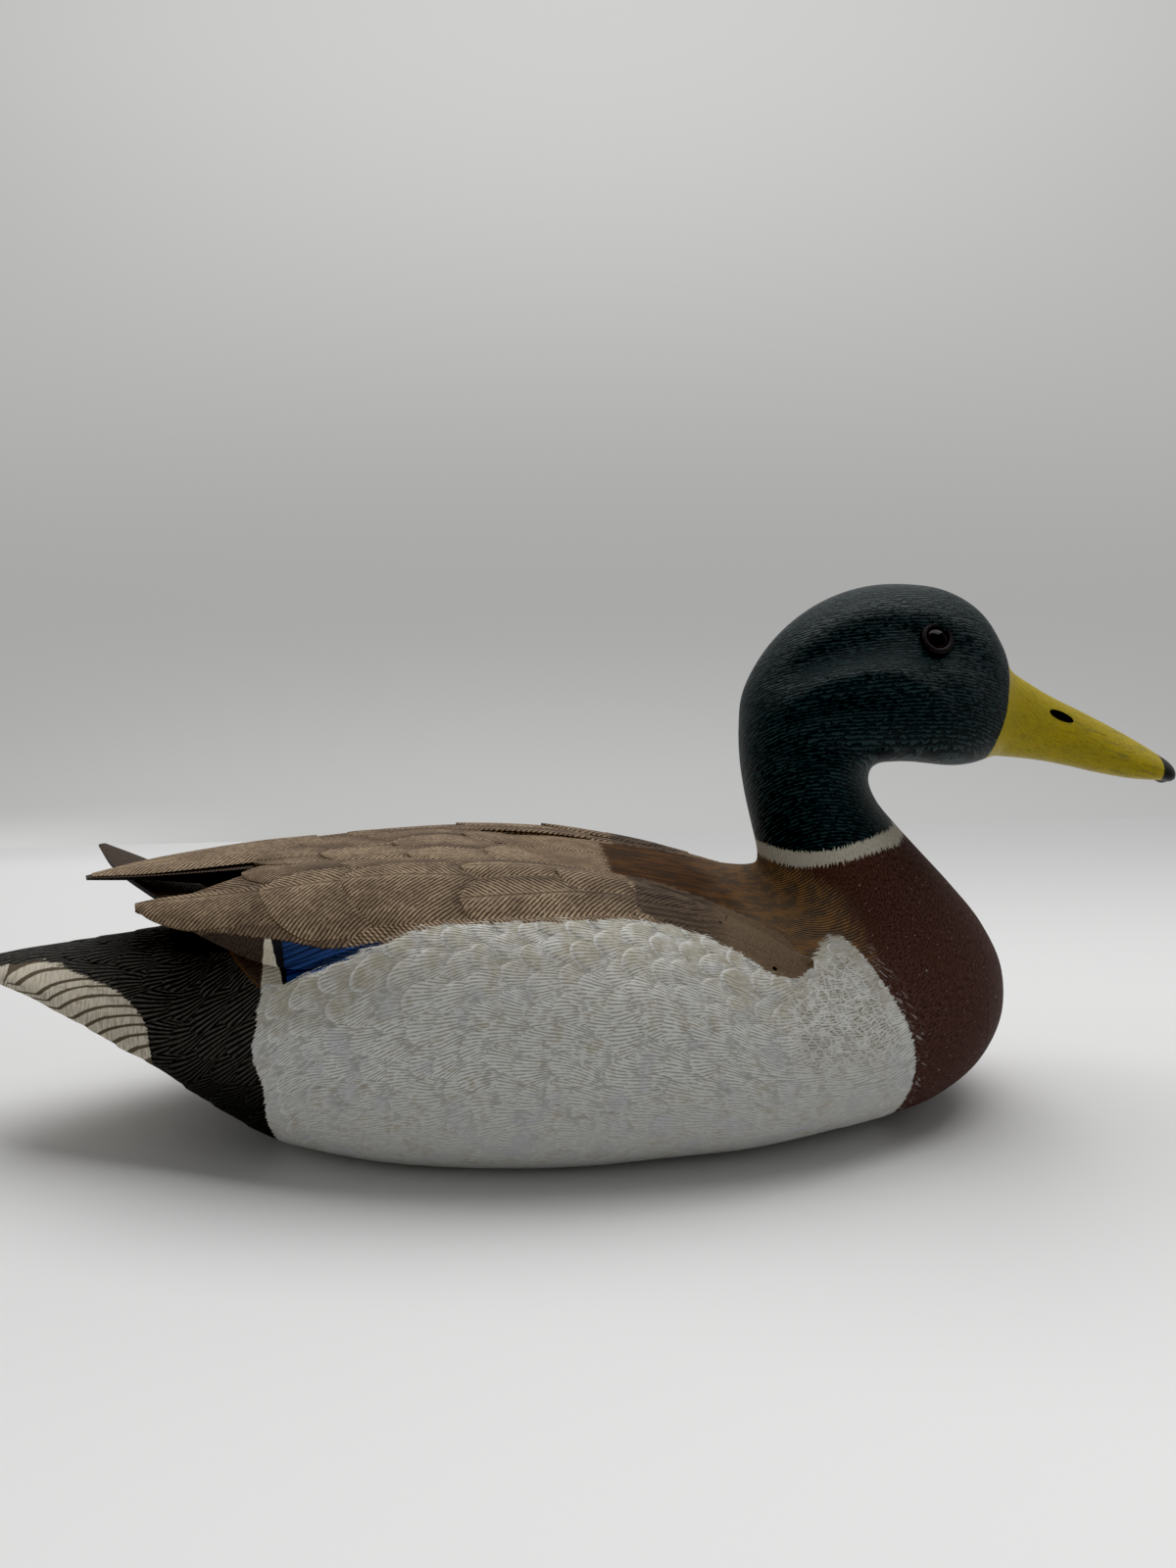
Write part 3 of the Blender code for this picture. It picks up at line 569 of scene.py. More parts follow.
def wing_surface(x, y):
    """The height of a wing's upper surface above a place on the plan."""
    share = min(max(wing_share(x, y), -0.1), 1.0)
    free = min(1.0, max(0.0, (WING_FREE[0] - x) / WING_FREE[1]))
    low_inside = (0.5 + 0.4 * ease(-40, 10, x)) * (1 - ease(-0.05, 0.30, share))
    tucked = WING_LIFT * (1 - low_inside) - WING_DROP * share**2
    return height_on(x, y) + tucked + (WING_LIFT / 3 - tucked) * free


def wing_sheet(name, side):
    """A folded wing: a plate from its inner edge to its outer edge."""
    xs = np.linspace(WING_INNER[0][0], WING_INNER[-1][0], 112)
    shares = np.linspace(0, 1, 23)
    top = np.empty((len(xs), len(shares), 3))
    thickness = np.empty(top.shape[:2])
    for i, x in enumerate(xs):
        inner, outer = read_curve(WING_INNER, x), read_curve(WING_OUTER, x)
        for j, share in enumerate(shares):
            y = (inner + (outer - inner) * share) * side
            rim = min(share, 1 - share) * (outer - inner)
            round_off = 0.9 * (1 - min(1.0, rim / 2.2)) ** 2
            top[i, j] = (x, y, wing_surface(x, y) - round_off)
            thickness[i, j] = WING_EDGE + 3.6 * min(1.0, rim / 7) * ease(-156, -128, x)
    uv = np.stack([top[..., 0] + 160, np.abs(top[..., 1]) - 36], axis=2)
    return slab(name, top - [MIDDLE, 0, 0], thickness, uv, [WING_PAINT] * 3)


def wing_core(name, side):
    """The wood under a wing, set back from its edges, all in the dark paint as painted shade in the
    undercuts.
    """
    rows = []
    for x in np.linspace(*CORE_SPAN, 24):
        inner, outer = read_curve(WING_INNER, x) + CORE_INSET, read_curve(WING_OUTER, x) - CORE_INSET
        ys = [(inner + (outer - inner) * share) * side for share in np.linspace(0, 1, 10)]
        rows.append([(x, y, height_on(x, y) - WING_EDGE) for y in ys])
    top = np.array(rows) - [MIDDLE, 0, 0]
    return slab(name, top, CORE_DEPTH, top[..., :2], [DARK_PAINT_AND_SHADE] * 3)


def cape_surface(x, y):
    return height_on(x, y) + CAPE_LIFT * min(1.0, max(0.0, (CAPE_SPAN[0] - x) / 35)) - CAPE_SINK


def cape(name):
    """The plate that closes the back between the wings."""
    rows = []
    for x in np.linspace(*CAPE_SPAN, 52):
        half_width = read_curve(CAPE_HALF_WIDTH, x)
        rows.append([(x, share * half_width, cape_surface(x, share * half_width))
                     for share in np.linspace(-1, 1, 25)])
    top = np.array(rows) - [MIDDLE, 0, 0]
    uv = np.stack([top[..., 0] + 160, top[..., 1]], axis=2)
    return slab(name, top, CAPE_THICKNESS, uv, [WING_PAINT] * 3)


def feather(name, line, inner, outer, surface, side, lift, tip):
    """A feather laid on a surface, and its outline in plan.

    line runs from its root to its tip in plan, in the CAD's frame. inner and outer are the widths of its
    vanes, lift is how far it stands off at its root and its tip, and tip the length of its rounded end."""
    line = np.array(line, float)
    along = np.concatenate([[0], np.cumsum(np.linalg.norm(np.diff(line, axis=0), axis=1))])
    length = along[-1]
    n = max(14, int(length / 1.5))
    places = length * (1 - (1 - np.linspace(0, 1, n)) ** 1.6)
    middle = smooth_through(along, line, places)
    ahead = np.gradient(middle, axis=0)
    ahead /= np.linalg.norm(ahead, axis=1, keepdims=True)
    out = np.stack([-ahead[:, 1], ahead[:, 0]], axis=1)
    out *= np.sign(out[:, 1:2] + 1e-9)
    m = max(9, int((inner + outer) / 1.5))
    top = np.empty((n, m, 3))
    uv = np.empty((n, m, 2))
    for i in range(n):
        to_tip = length - places[i]
        end = min(1.0, (to_tip + 0.15) / tip)
        swell = (1 - (1 - end) ** 2.1) ** 0.62
        start = min(1.0, places[i] / 12 + 0.55)
        for j, share in enumerate(np.linspace(-1, 1, m)):
            width = outer if share > 0 else inner
            off = share * width * swell * start
            x, y = middle[i] + out[i] * off
            rise = lift[0] + (lift[1] - lift[0]) * (places[i] / length) ** 1.3
            crown = 0.35 * (1 - share**2) - 0.30 * max(0.0, abs(share) - 0.82) / 0.18
            top[i, j] = (x, y * side, surface(x + MIDDLE, y * side) + rise + crown)
            uv[i, j] = (to_tip + PATTERN_STEP * (1 + hash_of(name)), off)
    outline = np.concatenate([top[:, 0], top[::-1, -1]])[:, :2]
    # The underside takes the dark brown of the primaries: painted shade under the feather
    return slab(name, top, FEATHER_THICKNESS, uv, [WING_PAINT, PRIMARY_PAINT_AND_SHADE, WING_PAINT]), outline


def hash_of(name):
    """A number from 0 to 6 for a name, the same each run."""
    return sum(ord(c) * (i + 3) for i, c in enumerate(name)) % 7


def shade_under(layers):
    """Paints shade on each layer beside the outlines of the layers that lie on it, which come later."""
    for i, (made, _) in enumerate(layers):
        spots = np.array([v.co for v in made.data.vertices]) / MM
        near = np.full(len(spots), 99.0)
        for _, outline in layers[i + 1 :]:
            near = np.minimum(near, np.maximum(-distance_in(outline, spots[:, 0], spots[:, 1]), 0))
        made.data.attributes["shade"].data.foreach_set("value", np.exp(-near / 2.6))


# Feathers of one wing, each drawn in plan in the CAD's frame from its root to its tip, with y away from the
# middle of the back: name, line, widths of the inner and outer vane, length of the rounded tip, lift at
# the tip
WING_FEATHERS = [
    ("tertial_low", [(-92, 35), (-120, 27.5), (-137, 23.5), (-153, 21.3)], 4, 12, 34, 0.9),
    ("tertial_in", [(-68, 19), (-95, 15), (-119, 13.5)], 6, 13, 20, 0.6),
    ("tertial_a", [(-60, 34), (-86, 30.5), (-112, 30.5)], 10, 20, 22, 0.9),
    ("scapular_in", [(-38, 22), (-60, 19.5), (-86, 19)], 5, 9, 15, 0.7),
    ("tertial_b", [(-20, 37), (-47, 33), (-66, 30.5), (-85.5, 30.2)], 9, 23, 24, 0.95),
    ("scapular_up", [(2, 25), (-25, 22.5), (-52, 21.5)], 2, 7, 13, 0.5),
    ("scapular_d", [(18, 39), (-6, 40.5), (-26, 42.8), (-47.5, 44)], 10, 13, 16, 0.95),
    ("scapular_c", [(-6, 28.5), (-28, 27.5), (-46.5, 28.7)], 4, 7.5, 10, 1.0),
    ("scapular_e", [(26, 33), (6, 30.5), (-15.5, 30.5)], 3, 11, 13, 1.1),
    ("covert_1", [(42, 51), (28, 47), (9, 46.5)], 6, 9, 10, 0.6),
    ("covert_2", [(40, 40), (24, 34.5), (8.5, 33)], 3, 9, 9, 0.6),
    ("covert_3", [(52, 53), (42, 50), (26, 48)], 7, 8, 10, 0.6),
]
# Feathers of the back between the wings, in the same way, with y to the left
BACK_FEATHERS = [
    ("back_1", [(-84, 2), (-104, 1), (-119, 0)], 7, 7, 12, 0.5),
    ("back_2", [(-66, 9), (-84, 8), (-101, 7)], 7, 7, 11, 0.6),
    ("back_3", [(-58, -7), (-76, -8), (-93, -7)], 7, 7, 11, 0.6),
    ("back_4", [(-42, 15), (-60, 14), (-78, 12)], 8, 8, 12, 0.6),
    ("back_5", [(-34, 1), (-52, 1), (-69, 0)], 9, 9, 12, 0.7),
    ("back_6", [(-30, -13), (-46, -14), (-64, -13)], 7, 7, 12, 0.7),
    ("back_7", [(-14, 12), (-30, 12), (-45, 12)], 9, 9, 12, 0.8),
    ("back_8", [(-8, -8), (-22, -9), (-38, -9)], 9, 9, 12, 0.8),
    ("back_9", [(6, 3), (-6, 3), (-21, 2)], 10, 10, 12, 0.9),
]


def feathered(sheet, feathers, ending, surface, side, others):
    """A sheet with its feathers laid on it, joined to it and to others as one closed mesh."""
    layers = [(sheet, None)]
    for name, line, inner, outer, tip, rise in feathers:
        layers.append(feather(name + ending, line, inner, outer, surface, side, (0.15, rise), tip))
    shade_under(layers)
    return join(sheet, others + [made for made, _ in layers[1:]])


def blade(name, line, roll, half_widths, thickness, root, paint):
    """A blade of primary feathers along a line from its root to its tip, rolled about it.

    It thins towards its tip, and root is how much thicker its middle is at its root."""
    line = np.array(line, float)
    places = 1 - (1 - np.linspace(0, 1, 44)) ** 1.6
    knots = np.linspace(0, 1, len(line))
    middle = smooth_through(knots, line, places)
    widths = smooth_through(knots, half_widths, places)[:, 0]
    ahead = (line[-1] - line[0])[:2]
    ahead /= np.linalg.norm(ahead)
    across = np.array([ahead[1], -ahead[0]])
    tilt = math.tan(math.radians(roll))
    shares = np.linspace(-1, 1, 17)
    top = np.empty((len(places), len(shares), 3))
    uv = np.empty((len(places), len(shares), 2))
    length = np.linalg.norm(line[-1] - line[0])
    thick = np.empty(top.shape[:2])
    for i, point in enumerate(middle):
        for j, share in enumerate(shares):
            off = across * share * widths[i]
            height = point[2] + (1 - share**2) * widths[i] * 0.12 + off[1] * tilt
            top[i, j] = (point[0] + off[0] - MIDDLE, point[1] + off[1], height)
            uv[i, j] = ((1 - places[i]) * length + PATTERN_STEP * 7, share * widths[i])
            thick[i, j] = thickness * (1 - 0.25 * abs(share) ** 4) * (1 - 0.65 * places[i] ** 3)
            thick[i, j] += root * max(0.0, 1 - (places[i] / 0.8) ** 2) * (1 - share**2)
    # The underside and the rim take the dark paint: painted shade under the blade and along its edge
    return slab(name, top, thick, uv, [paint, DARK_PAINT_AND_SHADE, DARK_PAINT_AND_SHADE])


def ring_around(name, point, normal, major, minor, paint):
    """The carved ring round an eye."""
    turn = np.array(Vector(normal).to_track_quat("Z", "X").to_matrix())
    n, m = LID_FACES
    around = np.linspace(0, 2 * math.pi, n, endpoint=False)
    about = np.linspace(0, 2 * math.pi, m, endpoint=False)
    reach = major + minor * np.cos(about)[None, :]
    local = np.stack([reach * np.cos(around)[:, None], reach * np.sin(around)[:, None],
                      np.broadcast_to(minor * np.sin(about), (n, m))], axis=2)
    verts = local.reshape(-1, 3) @ turn.T + np.array(point)
    faces = []
    for i in range(n):
        for j in range(m):
            after, up = (i + 1) % n, (j + 1) % m
            faces.append((i * m + j, after * m + j, after * m + up, i * m + up))
    return mesh_object(name, verts, faces, np.zeros((len(faces) * 4, 2)), paint)


def side_point(skin, place, side):
    """The point of the skin at a place (x, z) of the side view."""
    return skin.ray_cast(Vector((place[0] - MIDDLE, side * 150, place[1])), Vector((0, -side, 0)))[0]


def ball(name, middle, radii, turn, segments, paint):
    """A closed ellipsoid, for a socket, a nostril, an eye or the bill's nail."""
    mesh = bmesh.new()
    bmesh.ops.create_uvsphere(mesh, u_segments=segments, v_segments=segments // 2, radius=1)
    mesh.transform(Matrix.Translation(middle) @ turn.to_4x4() @ Matrix.Diagonal((*radii, 1)))
    verts = [tuple(v.co) for v in mesh.verts]
    faces = [tuple(v.index for v in f.verts) for f in mesh.faces]
    mesh.free()
    corners = sum(len(f) for f in faces)
    return mesh_object(name, verts, faces, np.zeros((corners, 2)), paint)


# Paint

class Num:
    """A number in a material. Arithmetic on it adds Math nodes."""

    def __init__(self, shade, socket):
        self.shade, self.socket = shade, socket

    def __add__(self, other):
        return self.shade.math("ADD", self, other)

    def __sub__(self, other):
        return self.shade.math("SUBTRACT", self, other)

    def __rsub__(self, other):
        return self.shade.math("SUBTRACT", other, self)

    def __mul__(self, other):
        return self.shade.math("MULTIPLY", self, other)

    def __gt__(self, other):
        return self.shade.math("GREATER_THAN", self, other)

    __radd__ = __add__
    __rmul__ = __mul__

    def sine(self):
        return self.shade.math("SINE", self)

    def floor(self):
        return self.shade.math("FLOOR", self)

    def root(self):
        return self.shade.math("SQRT", self.shade.math("MAXIMUM", self, 0.0))

    def size(self):
        return self.shade.math("ABSOLUTE", self)

    def step(self, low, high):
        """0 below low, 1 above high, smooth between."""
        return self.shade.add("MapRange", {"Value": self, "From Min": low, "From Max": high}, "Result",
                              interpolation_type="SMOOTHSTEP")


class Shade:
    """The nodes of a material, or of the world. Each call adds a node and gives its output."""

    def __init__(self, name, owner=None, **settings):
        self.material = owner or bpy.data.materials.new(name)
        self.material.use_nodes = True
        self.tree = self.material.node_tree
        self.shader = self.tree.nodes["Background" if owner else "Principled BSDF"]
        for key, value in settings.items():
            self.shader.inputs[key.replace("_", " ")].default_value = value

    def put(self, node, key, value):
        if isinstance(value, Num):
            self.tree.links.new(value.socket, node.inputs[key])
        else:
            node.inputs[key].default_value = value

    def add(self, kind, inputs, output, **settings):
        node = self.tree.nodes.new("ShaderNode" + kind)
        for key, value in settings.items():
            setattr(node, key, value)
        for key, value in inputs.items():
            self.put(node, key, value)
        return Num(self, node.outputs[output])

    def math(self, operation, *values):
        return self.add("Math", dict(enumerate(values)), 0, operation=operation)

    def mark(self, name):
        return self.add("Attribute", {}, "Fac", attribute_name=name)

    def pattern(self):
        place = self.add("UVMap", {}, "UV", uv_map="pattern")
        parts = self.add("SeparateXYZ", {"Vector": place}, "X")
        return parts, Num(self, parts.socket.node.outputs["Y"])

    def place(self):
        """Where a point lies on the object, in mm."""
        here = self.add("TexCoord", {}, "Object")
        there = self.add("VectorMath", {0: here, 3: 1 / MM}, "Vector", operation="SCALE")
        parts = self.add("SeparateXYZ", {"Vector": there}, "X")
        return [Num(self, parts.socket.node.outputs[k]) for k in "XYZ"] + [there]

    def at(self, x, y, z=0.0):
        return self.add("CombineXYZ", {"X": x, "Y": y, "Z": z}, "Vector")

    def noise(self, vector, scale=1.0, detail=2.0, roughness=0.5):
        inputs = {"Vector": vector, "Scale": scale, "Detail": detail, "Roughness": roughness}
        return self.add("TexNoise", inputs, 0)

    def fine(self):
        """Grain of about half a millimetre."""
        return self.noise(self.place()[3], 1.7, detail=3.0, roughness=0.65)

    def mix(self, share, a, b):
        node = self.tree.nodes.new("ShaderNodeMix")
        node.data_type = "RGBA"
        for index, value in ((0, share), (6, a), (7, b)):
            self.put(node, index, (*value, 1.0) if isinstance(value, tuple) else value)
        return Num(self, node.outputs[2])

    def finish(self, colour, roughness, height):
        """Sets the colour and the roughness, and a bump from a height in mm."""
        self.put(self.shader, "Base Color", colour)
        self.put(self.shader, "Roughness", roughness)
        bump = self.add("Bump", {"Strength": 1.0, "Distance": MM, "Height": height}, "Normal")
        self.put(self.shader, "Normal", bump)
        return self.material


def body_paint():
    p = Shade("duck_paint", IOR=1.45, Specular_IOR_Level=0.17)
    s, t = p.pattern()
    place = p.place()
    x, y, z, here = place
    flank, bill = p.mark("flank"), p.mark("bill")
    collar_top, collar_low = p.mark("collar_top"), p.mark("collar_low")
    mantle, cream, stripes = p.mark("mantle"), p.mark("cream"), p.mark("stripes")

    strand = p.noise(p.at(s * 0.16, t * 1.15), detail=3, roughness=0.6) - 0.5
    fine = p.noise(here, 1.6, detail=3, roughness=0.65)
    broad = p.noise(here, 0.06)
    patch = p.noise(here, 0.17, detail=3, roughness=0.6)

    # Fans of burned strokes, one to a feather, on the flanks and the rump
    off_axis = t.size()
    far, off, edge, key = scales(s, off_axis, FLANK_PITCH, FLANK_WIDTH)
    wander = p.noise(p.at(s * 0.22, t * 0.22), detail=1) * 4
    dash = p.noise(p.at(s * 0.4, t * 0.9)).step(0.38, 0.58)
    turned = off + far * sine(key * 2.7) * 0.28
    fan = (p.math("ARCTAN2", turned, far + 9) * 118 + key * 2.1 + wander * 0.3).sine()
    ahead = x > 0
    near = ahead * 1.18 + 0.82
    far_r, off_r, edge_r, key_r = scales(s * near, off_axis * near, FLANK_PITCH, FLANK_WIDTH)
    turned_r = off_r + far_r * sine(key_r * 2.9) * 0.25
    fan_r = p.math("ARCTAN2", turned_r, far_r + 5) * (67 - ahead * 21)
    fan_r = (fan_r + key_r * 2.3 + wander * 0.3).sine()

    # The small feathers at the front of the flank: a net of pale rims
    cells = (x + z * 0.12 + (strand + broad) * 6).step(62, 72)
    cells = cells * z.step(29, 42) * flank.step(1.5, 6)
    warp = p.noise(here, 0.35)
    slant, upward = (x * 0.6 - z * 0.8) * 0.27, (x * 0.8 + z * 0.6) * 0.36
    net_place = p.at(slant + warp * 1.1, upward + warp * 0.8, y * 0.2)
    rims = p.add("TexVoronoi", {"Vector": net_place, "Scale": 1.15, "Randomness": 0.7}, "Distance",
                 feature="DISTANCE_TO_EDGE")
    flank_fan = (fan + (fan_r - fan) * cells) * (dash * 0.85 + 0.15)
    rump_fan = fan_r * (dash * 0.8 + 0.2)

    # The breast: short fine strokes, with a few pale specks
    hair = p.noise(p.at(s * 0.75, t * 1.8), detail=3, roughness=0.65)
    breast = p.mix(hair.step(0.38, 0.62), (0.026, 0.012, 0.01), (0.098, 0.047, 0.037))
    breast = p.mix((broad - 0.5).step(-0.2, 0.25) * 0.35, breast, (0.062, 0.027, 0.019))
    speck = p.noise(here, 1.3, detail=0).step(0.81, 0.85)
    breast = p.mix(speck * 0.7, breast, (0.42, 0.38, 0.34))
    scratch = (p.noise(p.at(s * 1.1, t * 0.2, 7), detail=3, roughness=0.7).step(0.55, 0.62)
               * (flank + 2.5).size().step(2.8, 0.8) * x.step(84, 92))
    breast = p.mix(scratch * 0.75, breast, (0.34, 0.3, 0.29))

    # The mantle: rust streaked with dark brown, and where the front of the wings and the back are painted on
    # the sweep itself, the wings' taupe
    streak = p.noise(p.at(s * 0.06, t * 0.24, 3), detail=3, roughness=0.65)
    rust = p.mix(streak.step(0.42, 0.6), (0.15, 0.105, 0.07), (0.28, 0.155, 0.072))
    umber = p.mix(streak.step(0.44, 0.62), (0.042, 0.02, 0.007), (0.112, 0.043, 0.009))
    rust = p.mix((x + broad * 24).step(64, 44), rust, umber)
    burn = (t * 4.8 + s * 1.6 + wander * 1.1).sine() * (hair.step(0.3, 0.55) * 0.7 + 0.3)
    rust = p.mix(burn.step(0.25, -0.55) * 0.8, rust, (0.024, 0.014, 0.01))
    blend = (mantle + strand * 16).step(-5, 7)
    colour = p.mix(blend, breast, rust)
    barb = ((off_axis * 0.5 + s * 0.8) * 5.2 + wander * 0.6).sine()
    taupe = wing_colours(p, barb, fine * 0.2, p.mark("shade"), place)[0]
    low = p.mark("low")
    on_wing = (p.mark("winged") + strand * 1.5 + 3.9).step(-0.4, 0.4) * low.step(-0.2, 0.2)
    on_back = (x + strand * 10 + barb * 0.6).step(4.6, 3.8) * z.step(80, 82)
    on_wing = p.math("MAXIMUM", on_wing, on_back)
    taupe = p.mix(low.step(1.5, 0.8) * x.step(-108, -110) * 0.8, taupe, (0.085, 0.045, 0.022))
    colour = p.mix(on_wing, colour, taupe)

    # The flanks: white over grey, with beige left in the strokes, and painted shade under each row of
    # feathers
    groove = flank_fan.step(0.2, -0.6)
    white = p.mix(groove, (0.74, 0.74, 0.715), (0.375, 0.365, 0.32))
    shallow = z.step(48, 20) * 0.55
    white = p.mix(shallow, white, (0.5, 0.5, 0.48))
    tint = patch.step(0.48, 0.68) * dash * 0.6
    white = p.mix(tint, white, (0.44, 0.385, 0.285))
    cool = p.noise(here, 0.1).step(0.5, 0.7) * 0.45
    white = p.mix(cool, white, (0.47, 0.49, 0.53))
    # Painted shade just behind the edge of each row of feathers, where the row above overlaps it
    under = edge.step(4.5, 9) * z.step(16, 34) * (1 - cells) * dash
    white = p.mix(under * 0.4, white, (0.31, 0.305, 0.285))
    rim = edge.step(1.6, 0.3) * (flank.step(24, 3) * 0.42 + 0.12) * patch.step(0.3, 0.6) * (1 - cells)
    near_top = flank.step(24, 4) * z.step(46, 58) * (0.9 - rim)
    white = p.mix(near_top * patch.step(0.25, 0.6) * 0.65, white, (0.37, 0.33, 0.24))
    white = p.mix(rim, white, (0.78, 0.78, 0.76))
    net = (rims + (fine - 0.5) * 0.3).step(0.17, 0.02) * cells
    inside = p.mix(groove, (0.47, 0.45, 0.385), (0.17, 0.155, 0.115))
    white = p.mix(cells * patch.step(0.25, 0.55) * 0.65, white, inside)
    white = p.mix(net * 0.7, white, (0.74, 0.735, 0.7))
    on_flank = (flank + strand * 3.4 + (fine - 0.5)).step(-0.25, 0.25)
    colour = p.mix(on_flank, colour, white)

    # The rump: black, with a painted glint of brown along the strokes and painted shade towards the bottom
    # The lighter brown along the strokes is a painted glint
    black_glints_and_shade = p.mix(rump_fan.step(-0.3, 0.7), (0.009, 0.0085, 0.008), (0.076, 0.071, 0.062))
    black_glints_and_shade = p.mix(patch.step(0.55, 0.75) * 0.35, black_glints_and_shade, (0.045, 0.04, 0.032))
    # Painted shade: plainer and darker towards the bottom
    black_glints_and_shade = p.mix(z.step(44, 24) * 0.8, black_glints_and_shade, (0.008, 0.008, 0.008))
    behind = x.step(-100, -104) * (1 - on_wing)
    colour = p.mix(behind * (1 - on_flank), colour, black_glints_and_shade)

    # The side of the tail: cream with curved brown stripes
    on_cream = (cream + strand * 2.6).step(-0.2, 0.2) * x.step(-145, -147)
    upright = p.noise(p.at(x * 1.5, z * 0.22, 8), roughness=0.6)
    pale = p.mix(upright.step(0.3, 0.6), (0.4, 0.35, 0.27), (0.66, 0.6, 0.49))
    nearest = (stripes - (stripes + 0.5).floor()).size()
    width = p.noise(p.at(s * 0.2, t * 0.2, 5)) * 0.1 + 0.085
    on_stripe = (width - nearest + strand * 0.04).step(-0.02, 0.03)
    pale = p.mix(on_stripe, pale, (0.115, 0.092, 0.062))
    colour = p.mix(on_cream, colour, pale)

    # The neck ring, the head and the bill
    ring = p.mix(hair.step(0.3, 0.7), (0.4, 0.365, 0.285), (0.58, 0.545, 0.46))
    nick = p.noise(p.at(s * 0.12, t * 1.7, 4)) - 0.5
    ring_edge = strand * 2.4 + nick * 5
    neck = x.step(43.5, 45.5)
    colour = p.mix((collar_low + ring_edge).step(-0.2, 0.2) * neck, colour, ring)
    rise = z - y.size() * 0.8
    weave = p.noise(p.at(x * 0.45, rise * 0.9, y * 0.25)) - 0.5
    lines = (rise * 4.9 + weave * 11).sine() * 0.5 + 0.5
    wave = lines * (weave + 0.65).step(0.35, 0.85) + weave * 0.4 + (fine - 0.5) * 0.7
    # The lighter green along the carved lines is painted sheen
    green_and_sheen = p.mix(wave.step(0.15, 0.75), (0.003, 0.0065, 0.0075), (0.0215, 0.04, 0.042))
    green_and_sheen = p.mix(speck * 0.25, green_and_sheen, (0.2, 0.2, 0.19))
    on_head = (collar_top + nick * -4.4 + strand * 2.4).step(-0.2, 0.2) * neck
    colour = p.mix(on_head, colour, green_and_sheen)
    olive = p.mix(patch.step(0.3, 0.75), (0.43, 0.318, 0.016), (0.36, 0.285, 0.022))
    olive = p.mix(fine.step(0.5, 0.68) * 0.4, olive, (0.14, 0.108, 0.012))
    grain = p.noise(p.at(s * 0.3, t, 6))
    olive = p.mix(grain.step(0.45, 0.75) * 0.35, olive, (0.135, 0.1, 0.01))
    brush = p.noise(p.at(s * 0.1, t * 0.9, 9)).step(0.52, 0.68) * x.step(160, 172)
    olive = p.mix(brush * 0.5, olive, (0.13, 0.125, 0.045))
    on_bill = (bill + strand * 0.9).step(-0.15, 0.15)
    colour = p.mix(on_bill * on_head, colour, olive)
    nail = (x + (z - 116).size() * -0.2 + strand * 0.5).step(198.6, 199.2)
    colour = p.mix(nail, colour, (0.012, 0.014, 0.012))

    # Relief of the burned strokes, in mm
    on_breast = (1 - on_head) * (1 - on_flank)
    tile = far * (1 / FLANK_PITCH) * edge.step(-0.2, 2) * (0.1 + flank.step(30, 0) * 0.15)
    tile_r = far_r * (1 / FLANK_PITCH) * edge_r.step(0, 1) * 0.3
    height = (flank_fan * 0.07 + fine * 0.08 + tile * (1 - cells) + net * 0.2) * on_flank
    height = height + behind * (1 - on_flank) * (1 - on_cream) * (rump_fan * 0.12 + tile_r)
    height = height + on_breast * (1 - behind) * (hair * 0.22 + burn * blend * 0.1)
    height = height + on_head * (1 - on_bill) * (wave * 0.34 + fine * 0.1)
    height = height + on_bill * (fine * 0.18 + patch * 0.1 + grain * 0.12)
    height = height + on_cream * (upright * 0.2 - on_stripe * 0.06)
    rough = 0.72 - on_head * 0.27 - on_bill * 0.04 - behind * (1 - on_flank) * 0.12
    rough = rough + blend * on_breast * 0.2
    return p.finish(colour, rough + (fine - 0.5) * 0.15, height)


